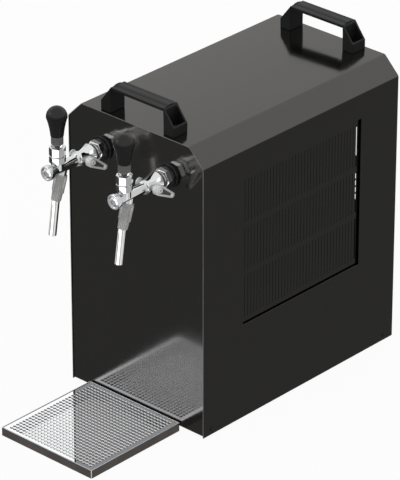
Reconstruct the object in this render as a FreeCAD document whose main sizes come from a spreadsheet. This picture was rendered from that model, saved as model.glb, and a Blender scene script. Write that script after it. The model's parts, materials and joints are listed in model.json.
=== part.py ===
import FreeCAD, Part
import math
import os
import PartDesign
import Sketcher

# Two-tap over-counter beer cooler with a folded steel case, compensator taps and a loose drip tray.
# Frame: +X to the right seen from the front, +Y to the rear, +Z up, in millimetres. The origin is
# at the middle of the footprint, on the counter. Every height below is measured from the bottom
# edge of the case, and every depth from its front edge, unless a comment says otherwise.

Vector = FreeCAD.Vector
doc = FreeCAD.newDocument("beer_cooler")

DRIVING_SIZES = {
    # case
    "case_width": 275.0,
    "case_depth": 440.0,
    "case_height": 480.0,
    "shoulder": 28.0,
    "cover_wall": 1.2,
    "flange_width": 10.0,
    "panel_wall": 1.5,
    "panel_recess": 1.5,
    "panel_gap": 0.4,
    "panel_lift": 2.5,
    "base_wall": 2.0,
    "base_lift": 3.0,
    "base_upturn": 16.0,
    "base_inset": 8.0,
    "screw_radius": 2.0,
    "screw_head_radius": 3.8,
    "screw_head_height": 1.2,
    "screw_clearance": 0.2,
    "screw_length": 8.0,
    "panel_screw_low": 120.0,
    "panel_screw_drop": 100.0,
    "cover_screw_height": 9.0,
    "cover_screw_inset": 20.0,
    # side windows and their grilles
    "window_front": 88.0,
    "window_length": 266.0,
    "window_bottom": 160.0,
    "window_drop": 70.0,
    "grille_wall": 1.0,
    "grille_setback": 2.5,
    "grille_lap": 8.0,
    "slot_width": 2.2,
    "slot_pitch": 7.0,
    "slot_row_gap": 10.0,
    "slot_columns": 37.0,
    "slot_rows": 3.0,
    # feet
    "foot_radius": 14.0,
    "foot_taper": 1.5,
    "foot_drop": 4.4,
    "foot_inset": 42.0,
    # carrying handles
    "handle_length": 148.0,
    "handle_depth": 30.0,
    "handle_height": 42.0,
    "handle_leg": 21.0,
    "handle_shoulder": 21.0,
    "handle_cheek": 15.5,
    "handle_edge": 5.0,
    "handle_belly": 11.0,
    "handle_inset": 20.0,
    "handle_wall": 3.5,
    "handle_pocket_floor": 8.0,
    "handle_screw_inset": 10.5,
    "handle_ledge": 2.0,
    "handle_nut_height": 3.2,
    "handle_nut_flats": 7.0,
    # taps
    "tap_spacing": 136.0,
    "tap_drop": 60.5,
    "collar_radius": 20.0,
    "collar_step_radius": 17.0,
    "collar_thickness": 8.0,
    "collar_edge": 1.2,
    "shank_chamfer": 1.0,
    "shank_radius": 10.0,
    "shank_bore": 4.75,
    "shank_tail": 40.0,
    "shank_engagement": 2.5,
    "thread_clearance": 0.15,
    "nut_flats": 29.0,
    "nut_length": 10.5,
    "nut_crown_slope": 0.6,
    "nut_crown_edge": 0.3,
    "locknut_flats": 30.0,
    "locknut_length": 6.0,
    "throat_radius": 11.0,
    "bulb_round": 2.5,
    "bulb_shoulder_round": 7.5,
    "bulb_radius": 16.3,
    "bulb_start": 21.0,
    "bulb_length": 30.0,
    "bulb_nose_radius": 12.0,
    "bulb_crest": 6.6,
    "bulb_crest_round": 66.0,
    "bulb_nose_round": 13.5,
    "barrel_start": 58.5,
    "barrel_radius": 8.6,
    "barrel_end": 109.0,
    "cap_radius": 11.7,
    "cap_length": 8.8,
    "cap_edge": 1.2,
    "cap_well": 2.0,
    "cap_button_radius": 7.6,
    "cap_button_side": 0.4,
    "cap_button_dome": 1.4,
    "cap_slot": 1.8,
    "tower_position": 93.4,
    "tower_radius": 9.9,
    "tower_height": 23.0,
    "tower_flats": 23.4,
    "tower_nut_height": 13.3,
    "tower_band_lift": 11.0,
    "tower_band_height": 10.6,
    "lip_rise": 4.0,
    "lip_radius": 6.4,
    "lip_fall": 1.6,
    "mouth_radius": 9.4,
    "pivot_height": 28.0,
    "ball_radius": 7.2,
    "ball_clearance": 0.35,
    "rod_radius": 3.8,
    "lever_pin_radius": 1.5,
    "lever_pin_reach": 9.0,
    "tower_neck_radius": 9.2,
    "tower_neck_height": 6.0,
    "ferrule_bottom": 40.6,
    "ferrule_foot_radius": 8.3,
    "ferrule_radius": 9.3,
    "ferrule_height": 13.0,
    "ferrule_edge": 1.5,
    "knob_foot_radius": 10.1,
    "knob_radius": 16.3,
    "knob_height": 48.0,
    "knob_edge": 1.2,
    "spout_position": 83.0,
    "spout_tilt": 17.0,
    "spout_lower_tilt": 8.7,
    "spout_radius": 6.15,
    "spout_bore": 4.7,
    "socket_radius": 8.0,
    "socket_length": 14.0,
    "spout_upper": 39.0,
    "spout_bend": 40.0,
    "spout_lower": 49.1,
    "sleeve_radius": 9.6,
    "sleeve_foot_radius": 7.2,
    "sleeve_top": 12.2,
    "sleeve_length": 40.7,
    "sleeve_wing": 26.0,
    "sleeve_wing_lift": 2.0,
    "sleeve_rib": 3.0,
    "sleeve_ribs": 4.0,
    "sleeve_rib_reach": 12.2,
    "flow_position": 44.0,
    "flow_shaft_radius": 4.0,
    "flow_hub_radius": 8.2,
    "flow_hub_edge": 2.5,
    "flow_boss_radius": 6.2,
    "flow_boss_height": 3.5,
    "flow_boss_edge": 1.5,
    "flow_hub_reach": 16.8,
    "flow_hub_length": 10.0,
    "flow_arm_radius": 7.6,
    "flow_neck_radius": 3.6,
    "flow_arm_wall": 7.4,
    "flow_arm_round": 3.2,
    "flow_arm_length": 31.0,
    "flow_arm_dip": 33.0,
    "flow_tip_radius": 4.6,
    # drip tray
    "tray_width": 189.0,
    "tray_depth": 192.0,
    "tray_height": 14.0,
    "tray_wall": 1.6,
    "grate_drop": 0.6,
    "tray_gap": 1.0,
    "tray_shift": -4.5,
    "grate_wall": 1.5,
    "grate_margin": 7.0,
    "grate_pitch": 6.6,
    "grate_columns": 26.0,
    "grate_rows": 27.0,
    "grate_hole": 4.2,
    "grate_clearance": 0.8,
    "grate_foot_radius": 2.4,
    # cooling
    "jacket_side_gap": 29.5,
    "jacket_depth": 74.0,
    "jacket_drop": 83.0,
    "jacket_front": 14.0,
    "jacket_wall": 14.0,
    "line_radius": 4.75,
    "line_bend": 20.0,
    "outlet_run": 4.0,
    "inlet_line_drop": 46.0,
    "inlet_tail": 14.0,
    "inlet_flange_radius": 12.0,
    "inlet_flange_wall": 3.0,
    "inlet_bore": 4.9,
    "inlet_nut_flats": 22.0,
    "inlet_nut_length": 6.0,
    "inlet_spacing": 80.0,
    "inlet_drop": 34.0,
    "inlet_barb": 1.5,
    "inlet_barb_length": 4.0,
    "inlet_edge": 1.0,
    "inlet_reach": 22.0,
    "inlet_radius": 8.5,
    "inlet_bore_depth": 18.0,
    "can_radius": 60.0,
    "can_height": 128.0,
    "can_crown": 18.0,
    "can_crown_round": 21.6,
    "can_seam": 4.0,
    "can_split": 58.0,
    "can_position": 300.0,
    "plate_length": 172.0,
    "plate_width": 120.0,
    "plate_wall": 3.0,
    "grommet_radius": 9.0,
    "grommet_height": 9.0,
    "relay_width": 44.0,
    "relay_height": 56.0,
    "relay_depth": 30.0,
    "relay_bottom": 50.0,
    "stub_foot": 95.0,
    "stub_top": 134.0,
    "discharge_run": 12.0,
    "terminal_reach": 8.0,
    "condenser_depth": 32.0,
    "condenser_length": 216.0,
    "condenser_lift": 16.0,
    "condenser_drop": 18.0,
    "condenser_front": 114.0,
    "condenser_gap": 6.0,
    "condenser_rail": 3.0,
    "fin_wall": 0.8,
    "fin_pitch": 9.0,
    "pipe_radius": 4.0,
    "pipe_rows": 5.0,
    "shroud_wall": 1.5,
    "shroud_depth": 22.0,
    "fan_opening_edge": 16.0,
    "fan_tip_gap": 6.0,
    "fan_hub_radius": 20.0,
    "fan_hub_length": 18.0,
    "fan_shaft_radius": 3.0,
    "fan_shaft_length": 48.0,
    "running_fit": 0.05,
    "fan_blades": 5.0,
    "fan_blade_wall": 1.5,
    "fan_blade_chord": 24.0,
    "fan_blade_rise": 14.0,
    "fan_blade_root": 2.0,
    "fan_blade_lift": 1.0,
    "fan_hub_edge": 2.0,
    "motor_radius": 27.0,
    "motor_length": 38.0,
    "strap_width": 18.0,
    "strap_reach": 62.0,
    "strap_wall": 2.0,
    "drier_radius": 9.5,
    "drier_length": 70.0,
    "drier_neck": 6.0,
    "drier_cone": 14.0,
    "capillary_radius": 1.5,
    # rear controls
    "control_height": 74.0,
    "thermostat_inset": 71.5,
    "thermostat_width": 38.0,
    "thermostat_depth": 24.0,
    "thermostat_neck": 5.0,
    "thermostat_shaft": 3.0,
    "dial_radius": 17.0,
    "dial_top_radius": 14.5,
    "dial_height": 14.0,
    "dial_gap": 1.0,
    "dial_skirt": 3.0,
    "switch_position": -30.0,
    "switch_width": 21.0,
    "switch_height": 30.0,
    "switch_depth": 18.0,
    "switch_bezel": 2.0,
    "switch_wall": 2.0,
    "rocker_pivot": 7.0,
    "rocker_pin": 1.5,
    "rocker_swing": 1.5,
    "rocker_dish": 1.2,
    "rocker_clearance": 0.5,
    "rocker_tilt": 7.0,
    "rocker_proud": 2.0,
    "power_inset": 53.5,
    "power_width": 27.5,
    "power_height": 20.0,
    "power_depth": 22.0,
    "power_flange": 50.0,
    "power_flange_wall": 2.5,
    "power_cavity_depth": 16.0,
    "power_wall": 2.5,
    "power_pin_width": 4.0,
    "power_pin_wall": 2.0,
    "power_pin_pitch": 7.0,
    "vent_slots": 11.0,
    "vent_width": 8.0,
    "vent_pitch": 11.6,
    "vent_length": 50.0,
    "vent_drop": 189.5,
    "louvre_slots": 4.0,
    "louvre_height": 9.6,
    "louvre_pitch": 11.9,
    "louvre_drop": 265.6,
}

SHEET = "sizes"
HALF_SHOULDER_TURN = math.tan(math.radians(22.5))   # offset of a 45 degree shoulder per unit of wall
DIAGONAL = math.sqrt(0.5)


class Size:
    """A length together with the spreadsheet formula that it comes from."""

    def __init__(self, formula, value):
        self.formula = formula
        self.value = value

    def __add__(self, other):
        return joined(self, "+", other)

    def __radd__(self, other):
        return joined(other, "+", self)

    def __sub__(self, other):
        return joined(self, "-", other)

    def __rsub__(self, other):
        return joined(other, "-", self)

    def __mul__(self, other):
        return joined(self, "*", other)

    def __rmul__(self, other):
        return joined(other, "*", self)

    def __truediv__(self, other):
        return joined(self, "/", other)

    def __neg__(self):
        return joined(0, "-", self)


def as_size(value):
    if isinstance(value, Size):
        return value
    return Size(f"({float(value):.9f})", float(value))


def joined(first, sign, second):
    a = as_size(first)
    b = as_size(second)
    results = {"+": a.value + b.value, "-": a.value - b.value, "*": a.value * b.value}
    result = a.value / b.value if sign == "/" else results[sign]
    return Size(f"({a.formula} {sign} {b.formula})", result)


def number(value):
    return as_size(value).value


def root(size):
    return Size(f"sqrt({size.formula})", math.sqrt(size.value))


def write_sheet():
    sheet = doc.addObject("Spreadsheet::Sheet", SHEET)
    for row, (alias, value) in enumerate(DRIVING_SIZES.items(), start=1):
        sheet.set(f"A{row}", alias)
        sheet.set(f"B{row}", str(value))
        sheet.setAlias(f"B{row}", alias)
    doc.recompute()
    return {alias: Size(f"{SHEET}.{alias}", float(sheet.get(alias))) for alias in DRIVING_SIZES}


S = write_sheet()

# Places that several pieces share, worked out from the driving sizes.
FRONT = -(S["case_depth"] + S["inlet_reach"] - S["tray_gap"] - S["tray_depth"]) / 2
HALF_WIDTH = S["case_width"] / 2
INNER_HALF = HALF_WIDTH - S["cover_wall"]
WINDOW_HEIGHT = S["case_height"] - S["window_bottom"] - S["window_drop"]
TAP_HEIGHT = S["case_height"] - S["tap_drop"]
INLET_HEIGHT = S["case_height"] - S["inlet_drop"]
JACKET_TOP = S["case_height"] - S["jacket_drop"]
THERMOSTAT_X = HALF_WIDTH - S["thermostat_inset"]
POWER_X = S["power_inset"] - HALF_WIDTH
PANEL_INNER = S["panel_recess"] + S["panel_wall"]
FLOOR = S["base_lift"] + S["base_wall"]
GRILLE_X = INNER_HALF - S["grille_setback"]

# Turns that lay a local shape into the case.
FORWARD = FreeCAD.Rotation(Vector(1, 0, 0), 90)      # local z points to the front, local y up
BACKWARD = FreeCAD.Rotation(Vector(1, 0, 0), -90)    # local z points to the rear, local y down
SIDEWAYS = FreeCAD.Rotation(Vector(1, 1, 1), 120)    # local x to the rear, local y up, local z right
SIDEWAYS_LEFT = FreeCAD.Rotation(Vector(0, -1, 0), Vector(0, 0, 1), Vector(-1, 0, 0), "XYZ")   # x front, z left
RIGHTWARD = FreeCAD.Rotation(Vector(0, 1, 0), 90)    # local z points right
LEFTWARD = FreeCAD.Rotation(Vector(0, 1, 0), -90)    # local z points left
UPRIGHT = FreeCAD.Rotation()
nodes = {}


def bind(thing, prop, size):
    if isinstance(size, Size):
        thing.setExpression(prop, size.formula)


def place(thing, x, y, z, turn=UPRIGHT):
    """Puts a piece at x, at depth y behind the case's front edge and at height z over its bottom."""
    where = (as_size(x), FRONT + y, S["foot_drop"] + z)
    thing.Placement = FreeCAD.Placement(Vector(*[size.value for size in where]), turn)
    for axis, size in zip("xyz", where):
        bind(thing, f"Placement.Base.{axis}", size)
    return thing


def keep(thing, name):
    thing.Label = name
    nodes[name] = thing
    return thing


def plane_of(body, role):
    return next(item for item in body.Origin.OriginFeatures if item.Role == role)


def new_body(name):
    body = doc.addObject("PartDesign::Body", name)
    body.AllowCompound = True
    return body


def new_sketch(body, lift=0, role="XY_Plane"):
    sketch = body.newObject("Sketcher::SketchObject", body.Name + "_sketch")
    sketch.AttachmentSupport = [(plane_of(body, role), "")]
    sketch.MapMode = "FlatFace"
    sketch.AttachmentOffset = FreeCAD.Placement(Vector(0, 0, number(lift)), UPRIGHT)
    bind(sketch, "AttachmentOffset.Base.z", lift)
    return sketch


def pin_point(sketch, line, end, x, y):
    """Ties one point of a sketch to its two coordinates."""
    for kind, axis_line, size in (("DistanceX", -2, x), ("DistanceY", -1, y)):
        if abs(number(size)) < 1e-9:
            sketch.addConstraint(Sketcher.Constraint("PointOnObject", line, end, axis_line))
            continue
        index = sketch.addConstraint(Sketcher.Constraint(kind, -1, 1, line, end, number(size)))
        bind(sketch, f"Constraints[{index}]", size)


def arc_between(start, end, radius):
    """Arc from start to end. A positive radius turns to the left, a negative one to the right."""
    chord = end - start
    rise = math.sqrt(max(radius * radius - chord.Length ** 2 / 4, 0))
    left = Vector(-chord.y, chord.x, 0).normalize()
    centre = (start + end) * 0.5 + left * math.copysign(rise, radius)
    ends = [start, end] if radius > 0 else [end, start]
    angles = [math.atan2(point.y - centre.y, point.x - centre.x) for point in ends]
    if angles[1] <= angles[0]:
        angles[1] += 2 * math.pi
    return Part.ArcOfCircle(Part.Circle(centre, Vector(0, 0, 1), abs(radius)), *angles)


def draw_outline(sketch, points):
    """Draws a closed outline. A third value on a point makes the next side an arc of that radius."""
    corners = [Vector(number(point[0]), number(point[1]), 0) for point in points]
    sides = []
    for index, point in enumerate(points):
        start = corners[index]
        end = corners[(index + 1) % len(points)]
        if len(point) == 2:
            sides.append((sketch.addGeometry(Part.LineSegment(start, end), False), 1, 2))
            continue
        radius = number(point[2])
        line = sketch.addGeometry(arc_between(start, end, radius), False)
        sides.append((line, 1, 2) if radius > 0 else (line, 2, 1))
        size = point[2] if radius > 0 else -as_size(point[2])
        held = sketch.addConstraint(Sketcher.Constraint("Radius", line, abs(radius)))
        bind(sketch, f"Constraints[{held}]", size)
    for index, (line, first, last) in enumerate(sides):
        after = sides[(index + 1) % len(sides)]
        sketch.addConstraint(Sketcher.Constraint("Coincident", line, last, after[0], after[1]))
    for (line, first, last), point in zip(sides, points):
        pin_point(sketch, line, first, point[0], point[1])


def draw_circle(sketch, x, y, radius):
    centre = Vector(number(x), number(y), 0)
    line = sketch.addGeometry(Part.Circle(centre, Vector(0, 0, 1), number(radius)), False)
    pin_point(sketch, line, 3, x, y)
    index = sketch.addConstraint(Sketcher.Constraint("Radius", line, number(radius)))
    bind(sketch, f"Constraints[{index}]", radius)


def drop_radius(chord, drop):
    """Radius of the arc that spans a chord and sinks by drop at its middle."""
    return (chord * chord / 4 + drop * drop) / (2 * drop)


def rectangle(left, bottom, width, height):
    return [(left, bottom), (left + width, bottom), (left + width, bottom + height), (left, bottom + height)]


def add_pad(body, length, outlines=(), circles=(), lift=0, role="XY_Plane"):
    sketch = new_sketch(body, lift, role)
    for points in outlines:
        draw_outline(sketch, points)
    for x, y, radius in circles:
        draw_circle(sketch, x, y, radius)
    pad = body.newObject("PartDesign::Pad", body.Name + "_pad")
    pad.Profile = sketch
    pad.Length = number(length)
    bind(pad, "Length", length)
    sketch.Visibility = False
    return pad


def round_rims(body, pad, radius):
    """Rounds a pad's two flat faces all round."""
    doc.recompute()
    faces = pad.Shape.Faces
    flat = [f"Face{index + 1}" for index, face in enumerate(faces) if face.Surface.isPlanar() and len(face.Edges) > 4]
    fillet = body.newObject("PartDesign::Fillet", body.Name + "_round")
    fillet.Base = (pad, flat)
    fillet.Radius = number(radius)
    bind(fillet, "Radius", radius)
    body.Tip = fillet


def add_pocket(body, top, depth, outlines=(), circles=()):
    """Cuts from the height top down by depth."""
    sketch = new_sketch(body, top)
    for points in outlines:
        draw_outline(sketch, points)
    for x, y, radius in circles:
        draw_circle(sketch, x, y, radius)
    pocket = body.newObject("PartDesign::Pocket", body.Name + "_pocket")
    pocket.Profile = sketch
    pocket.Length = number(depth)
    bind(pocket, "Length", depth)
    return pocket


def prism(name, length, outlines=(), circles=()):
    body = new_body(name)
    add_pad(body, length, outlines, circles)
    return body


def turned(name, profile):
    """A piece turned about its local z axis, from a profile of (radius, height) points."""
    body = new_body(name)
    sketch = new_sketch(body, role="XZ_Plane")
    draw_outline(sketch, profile)
    spin = body.newObject("PartDesign::Revolution", name + "_turn")
    spin.Profile = sketch
    spin.ReferenceAxis = (sketch, ["V_Axis"])
    spin.Angle = 360
    return body


def cylinder(name, radius, length, angle=360):
    solid = doc.addObject("Part::Cylinder", name)
    solid.Radius = number(radius)
    solid.Height = number(length)
    solid.Angle = angle
    bind(solid, "Radius", radius)
    bind(solid, "Height", length)
    return solid


def block(name, width, depth, height):
    solid = doc.addObject("Part::Box", name)
    for prop, size in (("Length", width), ("Width", depth), ("Height", height)):
        setattr(solid, prop, number(size))
        bind(solid, prop, size)
    return solid


def ball(name, radius):
    solid = doc.addObject("Part::Sphere", name)
    solid.Radius = number(radius)
    bind(solid, "Radius", radius)
    return solid


def torus(name, radius, bend_radius, angle):
    """Bent stretch of a round bar, about its own z axis from its x axis on."""
    solid = doc.addObject("Part::Torus", name)
    solid.Radius1 = number(bend_radius)
    solid.Radius2 = number(radius)
    solid.Angle3 = angle
    bind(solid, "Radius1", bend_radius)
    bind(solid, "Radius2", radius)
    return solid


def fused(name, solids, refine=True):
    fuse = doc.addObject("Part::MultiFuse", name)
    fuse.Shapes = solids
    fuse.Refine = refine
    return fuse


def cut_away(name, base, tools):
    cut = doc.addObject("Part::Cut", name)
    cut.Base = base
    cut.Tool = tools[0] if len(tools) == 1 else fused(name + "_tools", tools)
    cut.Refine = True
    return cut


def grouped(name, solids):
    group = doc.addObject("Part::Compound", name)
    group.Links = solids
    return group


def shifted(name, thing, x, y):
    """The same piece again, moved along x and y."""
    copy = grouped(name, [thing])
    copy.Placement.Base = Vector(number(x), number(y), 0)
    bind(copy, "Placement.Base.x", x)
    bind(copy, "Placement.Base.y", y)
    return copy


def pattern(body, feature, axis, length, count):
    """Repeats a feature along one axis of its sketch."""
    row = body.newObject("PartDesign::LinearPattern", body.Name + "_row")
    row.Originals = [feature]
    row.Direction = (feature.Profile[0], [axis])
    row.Length = number(length)
    row.Occurrences = int(round(number(count)))
    bind(row, "Length", length)
    if isinstance(count, Size):
        row.setExpression("Occurrences", f"round({count.formula})")
    body.Tip = row
    return row


def ring_pattern(body, feature, count):
    ring = body.newObject("PartDesign::PolarPattern", body.Name + "_ring")
    ring.Originals = [feature]
    ring.Axis = (turning_axis(body), "")
    ring.Angle = 360
    ring.Occurrences = int(round(number(count)))
    if isinstance(count, Size):
        ring.setExpression("Occurrences", f"round({count.formula})")
    body.Tip = ring
    return ring


def turning_axis(body):
    return next(item for item in body.Origin.OriginFeatures if item.Role == "Z_Axis")


def corner_radius(flats, sides):
    return flats / 2 * (1 / math.cos(math.pi / sides))


def regular(flats, sides=6):
    """Outline of a nut with so many sides."""
    corner = corner_radius(flats, sides)
    turns = [2 * math.pi * step / sides for step in range(sides)]
    return [(corner * math.cos(turn), corner * math.sin(turn)) for turn in turns]


def both_sides():
    return (("left", -1), ("right", 1))


# ---------------------------------------------------------------- case

def shell_outline(inset, bottom):
    """Front outline of the case, set in by inset all round, closed at the height bottom."""
    side = HALF_WIDTH - inset
    top = S["case_height"] - inset
    low_bend = S["case_height"] - S["shoulder"] - inset * HALF_SHOULDER_TURN
    top_bend = HALF_WIDTH - S["shoulder"] - inset * HALF_SHOULDER_TURN
    return [(-side, bottom), (side, bottom), (side, low_bend), (top_bend, top), (-top_bend, top), (-side, low_bend)]


def arch_outline(inset, wall):
    """Band of the case outline, open at the bottom, from inset to inset plus wall."""
    left, right, low, high, high_left, low_left = shell_outline(inset, 0)
    inner = shell_outline(inset + wall, 0)
    return [right, low, high, high_left, low_left, left, inner[0], inner[5], inner[4], inner[3], inner[2], inner[1]]


def handle_screw_places():
    inset = S["handle_length"] / 2 - S["handle_screw_inset"]
    return [(side * inset, depth) for depth in (S["handle_inset"], S["case_depth"] - S["handle_inset"])
            for side in (-1, 1)]


def panel_screw_places():
    x = INNER_HALF - S["flange_width"] / 2
    return [(side * x, height) for side in (-1, 1)
            for height in (S["panel_screw_low"], S["case_height"] - S["panel_screw_drop"])]


def make_cover():
    """Folded cover: a long arch with inward flanges at both ends, side windows and handle holes."""
    body = new_body("cover_fold")
    add_pad(body, S["case_depth"], [arch_outline(0, S["cover_wall"])])
    flange = arch_outline(S["cover_wall"], S["flange_width"])
    for lift in (S["case_depth"] - PANEL_INNER - S["cover_wall"], PANEL_INNER):
        add_pad(body, S["cover_wall"], [flange], lift=lift)
    place(body, 0, S["case_depth"], 0, FORWARD)
    window = block("cover_window", S["case_width"] + 2, S["window_length"], WINDOW_HEIGHT)
    place(window, -HALF_WIDTH - 1, S["window_front"], S["window_bottom"])
    holes = [window]
    for index, (x, depth) in enumerate(handle_screw_places()):
        hole = cylinder(f"cover_handle_hole_{index}", S["screw_radius"] + S["screw_clearance"], 4 * S["cover_wall"])
        holes.append(place(hole, x, depth, S["case_height"] - 2 * S["cover_wall"]))
    for index, depth in enumerate((S["cover_screw_inset"], S["case_depth"] - S["cover_screw_inset"])):
        hole = cylinder(f"cover_side_hole_{index}", S["screw_radius"] + S["screw_clearance"], S["case_width"] + 2)
        holes.append(place(hole, -HALF_WIDTH - 1, depth, S["cover_screw_height"], SIDEWAYS))
    for index, (x, height) in enumerate(panel_screw_places()):
        hole = cylinder(f"cover_flange_hole_{index}", S["screw_radius"] + S["screw_clearance"], 4 * S["cover_wall"])
        holes.append(place(hole, x, S["case_depth"] - PANEL_INNER + S["cover_wall"], height, FORWARD))
    keep(cut_away("outer_cover_cut", body, holes), "outer_cover")


def make_base():
    """Base pan with upturned edges."""
    width = 2 * (INNER_HALF - S["panel_gap"])
    depth = S["case_depth"] - 2 * S["base_inset"]
    pan = block("base_outside", width, depth, S["base_upturn"])
    place(pan, -width / 2, S["base_inset"], S["base_lift"])
    inside = block("base_inside", width - 2 * S["base_wall"], depth - 2 * S["base_wall"], S["base_upturn"])
    place(inside, S["base_wall"] - width / 2, S["base_inset"] + S["base_wall"], FLOOR)
    tools = [inside]
    for index, hole_depth in enumerate((S["cover_screw_inset"], S["case_depth"] - S["cover_screw_inset"])):
        hole = cylinder(f"base_side_hole_{index}", S["screw_radius"] + S["screw_clearance"], S["case_width"] + 2)
        tools.append(place(hole, -HALF_WIDTH - 1, hole_depth, S["cover_screw_height"], SIDEWAYS))
    keep(cut_away("base_pan", pan, tools), "base_plate")


def tap_places():
    half = S["tap_spacing"] / 2
    return [("left", -half), ("right", half)]


def make_front_panel():
    outline = shell_outline(S["cover_wall"] + S["panel_gap"], S["panel_lift"])
    holes = [(x, TAP_HEIGHT, S["shank_radius"] + S["screw_clearance"]) for side, x in tap_places()]
    panel = prism("front_sheet", S["panel_wall"], [outline], holes)
    keep(place(panel, 0, PANEL_INNER, 0, FORWARD), "front_panel")


def make_rear_panel():
    outline = shell_outline(S["cover_wall"] + S["panel_gap"], S["panel_lift"])
    half = S["inlet_spacing"] / 2
    hole_radius = S["inlet_radius"] + S["thread_clearance"]
    holes = [(side * half, INLET_HEIGHT, hole_radius) for side in (-1, 1)]
    holes.append((THERMOSTAT_X, S["control_height"], S["thermostat_neck"] + S["thread_clearance"]))
    holes += [(x, height, S["screw_radius"] + S["screw_clearance"]) for x, height in panel_screw_places()]
    switch = rectangle(S["switch_position"] - S["switch_width"] / 2,
                       S["control_height"] - S["switch_height"] / 2, S["switch_width"], S["switch_height"])
    power = rectangle(POWER_X - S["power_width"] / 2,
                      S["control_height"] - S["power_height"] / 2, S["power_width"], S["power_height"])
    panel = prism("rear_sheet", S["panel_wall"], [outline, switch, power], holes)
    span = (S["vent_slots"] - 1) * S["vent_pitch"]
    slot = rectangle(-span / 2 - S["vent_width"] / 2, S["case_height"] - S["vent_drop"],
                     S["vent_width"], S["vent_length"])
    first = add_pocket(panel, S["panel_wall"], S["panel_wall"], [slot])
    pattern(panel, first, "H_Axis", span, S["vent_slots"])
    width = span + S["vent_width"]
    louvre = rectangle(-width / 2, S["case_height"] - S["louvre_drop"], width, S["louvre_height"])
    first = add_pocket(panel, S["panel_wall"], S["panel_wall"], [louvre])
    pattern(panel, first, "V_Axis", (S["louvre_slots"] - 1) * S["louvre_pitch"], S["louvre_slots"])
    place(panel, 0, S["case_depth"] - S["panel_recess"], 0, FORWARD)
    keep(panel, "rear_panel")


def window_band(inner, outer):
    """Band round the front, top and bottom of a side window, from inner to outer outside its edge."""
    length = S["window_length"]
    top = WINDOW_HEIGHT
    return [(length, -as_size(outer)), (-as_size(outer), -as_size(outer)), (-as_size(outer), top + outer),
            (length, top + outer), (length, top + inner), (-as_size(inner), top + inner),
            (-as_size(inner), -as_size(inner)), (length, -as_size(inner))]


def turned_round(points):
    """The same outline with its front and rear ends changed over."""
    return [(S["window_length"] - x, y) for x, y in reversed(points)]


def make_side_grilles():
    """Slotted sheets set back in the side windows, with folded edges at the front, top and bottom."""
    wall = S["grille_wall"]
    length = S["window_length"]
    height = WINDOW_HEIGHT
    rows_high = int(number(S["slot_rows"]))
    slot = (height - S["slot_row_gap"]) / S["slot_rows"] - S["slot_row_gap"]
    span = S["slot_pitch"] * (S["slot_columns"] - 1)
    start = (length - span - S["slot_width"]) / 2
    for name, side in both_sides():
        outlines = [rectangle(-wall, -wall, length + wall, height + 2 * wall), window_band(0, wall),
                    window_band(0, S["grille_lap"])]
        turn = SIDEWAYS
        if side < 0:
            outlines = [turned_round(points) for points in outlines]
            turn = SIDEWAYS_LEFT
        sheet, edge, flange = outlines
        body = prism(f"grille_{name}_sheet", wall, [sheet])
        add_pad(body, S["grille_setback"], [edge])
        add_pad(body, wall, [flange], lift=S["grille_setback"] - wall)
        rows = []
        for row in range(rows_high):
            bottom = height / 2 + (row - S["slot_rows"] / 2) * (slot + S["slot_row_gap"])
            rows.append(rectangle(start, bottom + S["slot_row_gap"] / 2, S["slot_width"], slot))
        first = add_pocket(body, wall, wall, rows)
        pattern(body, first, "H_Axis", span, S["slot_columns"])
        depth = S["window_front"] if side > 0 else S["window_front"] + length
        place(body, side * GRILLE_X, depth, S["window_bottom"], turn)
        keep(body, f"side_grille_{name}")


def make_feet():
    feet = []
    half = HALF_WIDTH - S["foot_inset"]
    height = S["foot_drop"] + S["base_lift"]
    profile = [(0, 0), (S["foot_radius"] - S["foot_taper"], 0), (S["foot_radius"], height), (0, height)]
    for x in (-half, half):
        for depth in (S["foot_inset"], S["case_depth"] - S["foot_inset"]):
            foot = turned("foot", profile)
            feet.append(place(foot, x, depth, -S["foot_drop"]))
    keep(grouped("feet_group", feet), "rubber_feet")


# ---------------------------------------------------------------- handles and screws

def make_handle(name, depth):
    """Moulded carrying handle: two sloped legs with screw pockets and a bellied grip bar."""
    half = S["handle_length"] / 2
    inner = half - S["handle_leg"]
    top = S["handle_height"]
    shoulder = half - S["handle_shoulder"]
    right = [(inner, 0), (half, 0), (half, S["handle_cheek"]), (shoulder, top), (inner - 1, top), (inner - 1, top - S["handle_ledge"]),
             (inner, top - S["handle_ledge"])]
    left = [(-x, y) for x, y in reversed(right)]
    body = new_body(name + "_moulding")
    edge = top - S["handle_edge"]
    belly = drop_radius(S["handle_depth"], S["handle_belly"] - S["handle_edge"])
    bar = [(top, 0), (top, S["handle_depth"]), (edge, S["handle_depth"], belly), (edge, 0)]
    add_pad(body, 2 * inner, [bar], lift=-inner, role="YZ_Plane")
    add_pad(body, S["handle_depth"], [right])
    add_pad(body, S["handle_depth"], [left])
    place(body, 0, depth + S["handle_depth"] / 2, S["case_height"], FORWARD)
    tools = []
    wall = S["handle_wall"]
    width = S["handle_leg"] - 2 * wall
    for side in (-1, 1):
        x = side * (half - S["handle_screw_inset"])
        pocket = block(name + "_pocket", width, S["handle_depth"] - 2 * wall, S["handle_height"])
        corner = side * (half - S["handle_leg"] / 2) - width / 2
        place(pocket, corner, depth - S["handle_depth"] / 2 + wall, S["case_height"] + S["handle_pocket_floor"])
        tools.append(pocket)
        hole = cylinder(name + "_hole", S["screw_radius"] + S["screw_clearance"], S["handle_pocket_floor"] + 2)
        tools.append(place(hole, x, depth, S["case_height"] - 1))
    keep(cut_away(name + "_cut", body, tools), name)


def make_screw(name, length, head_height):
    head = S["screw_head_radius"]
    shaft = S["screw_radius"]
    return turned(name, [(0, -length), (shaft, -length), (shaft, 0), (head, 0), (head, head_height), (0, head_height)])


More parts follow.
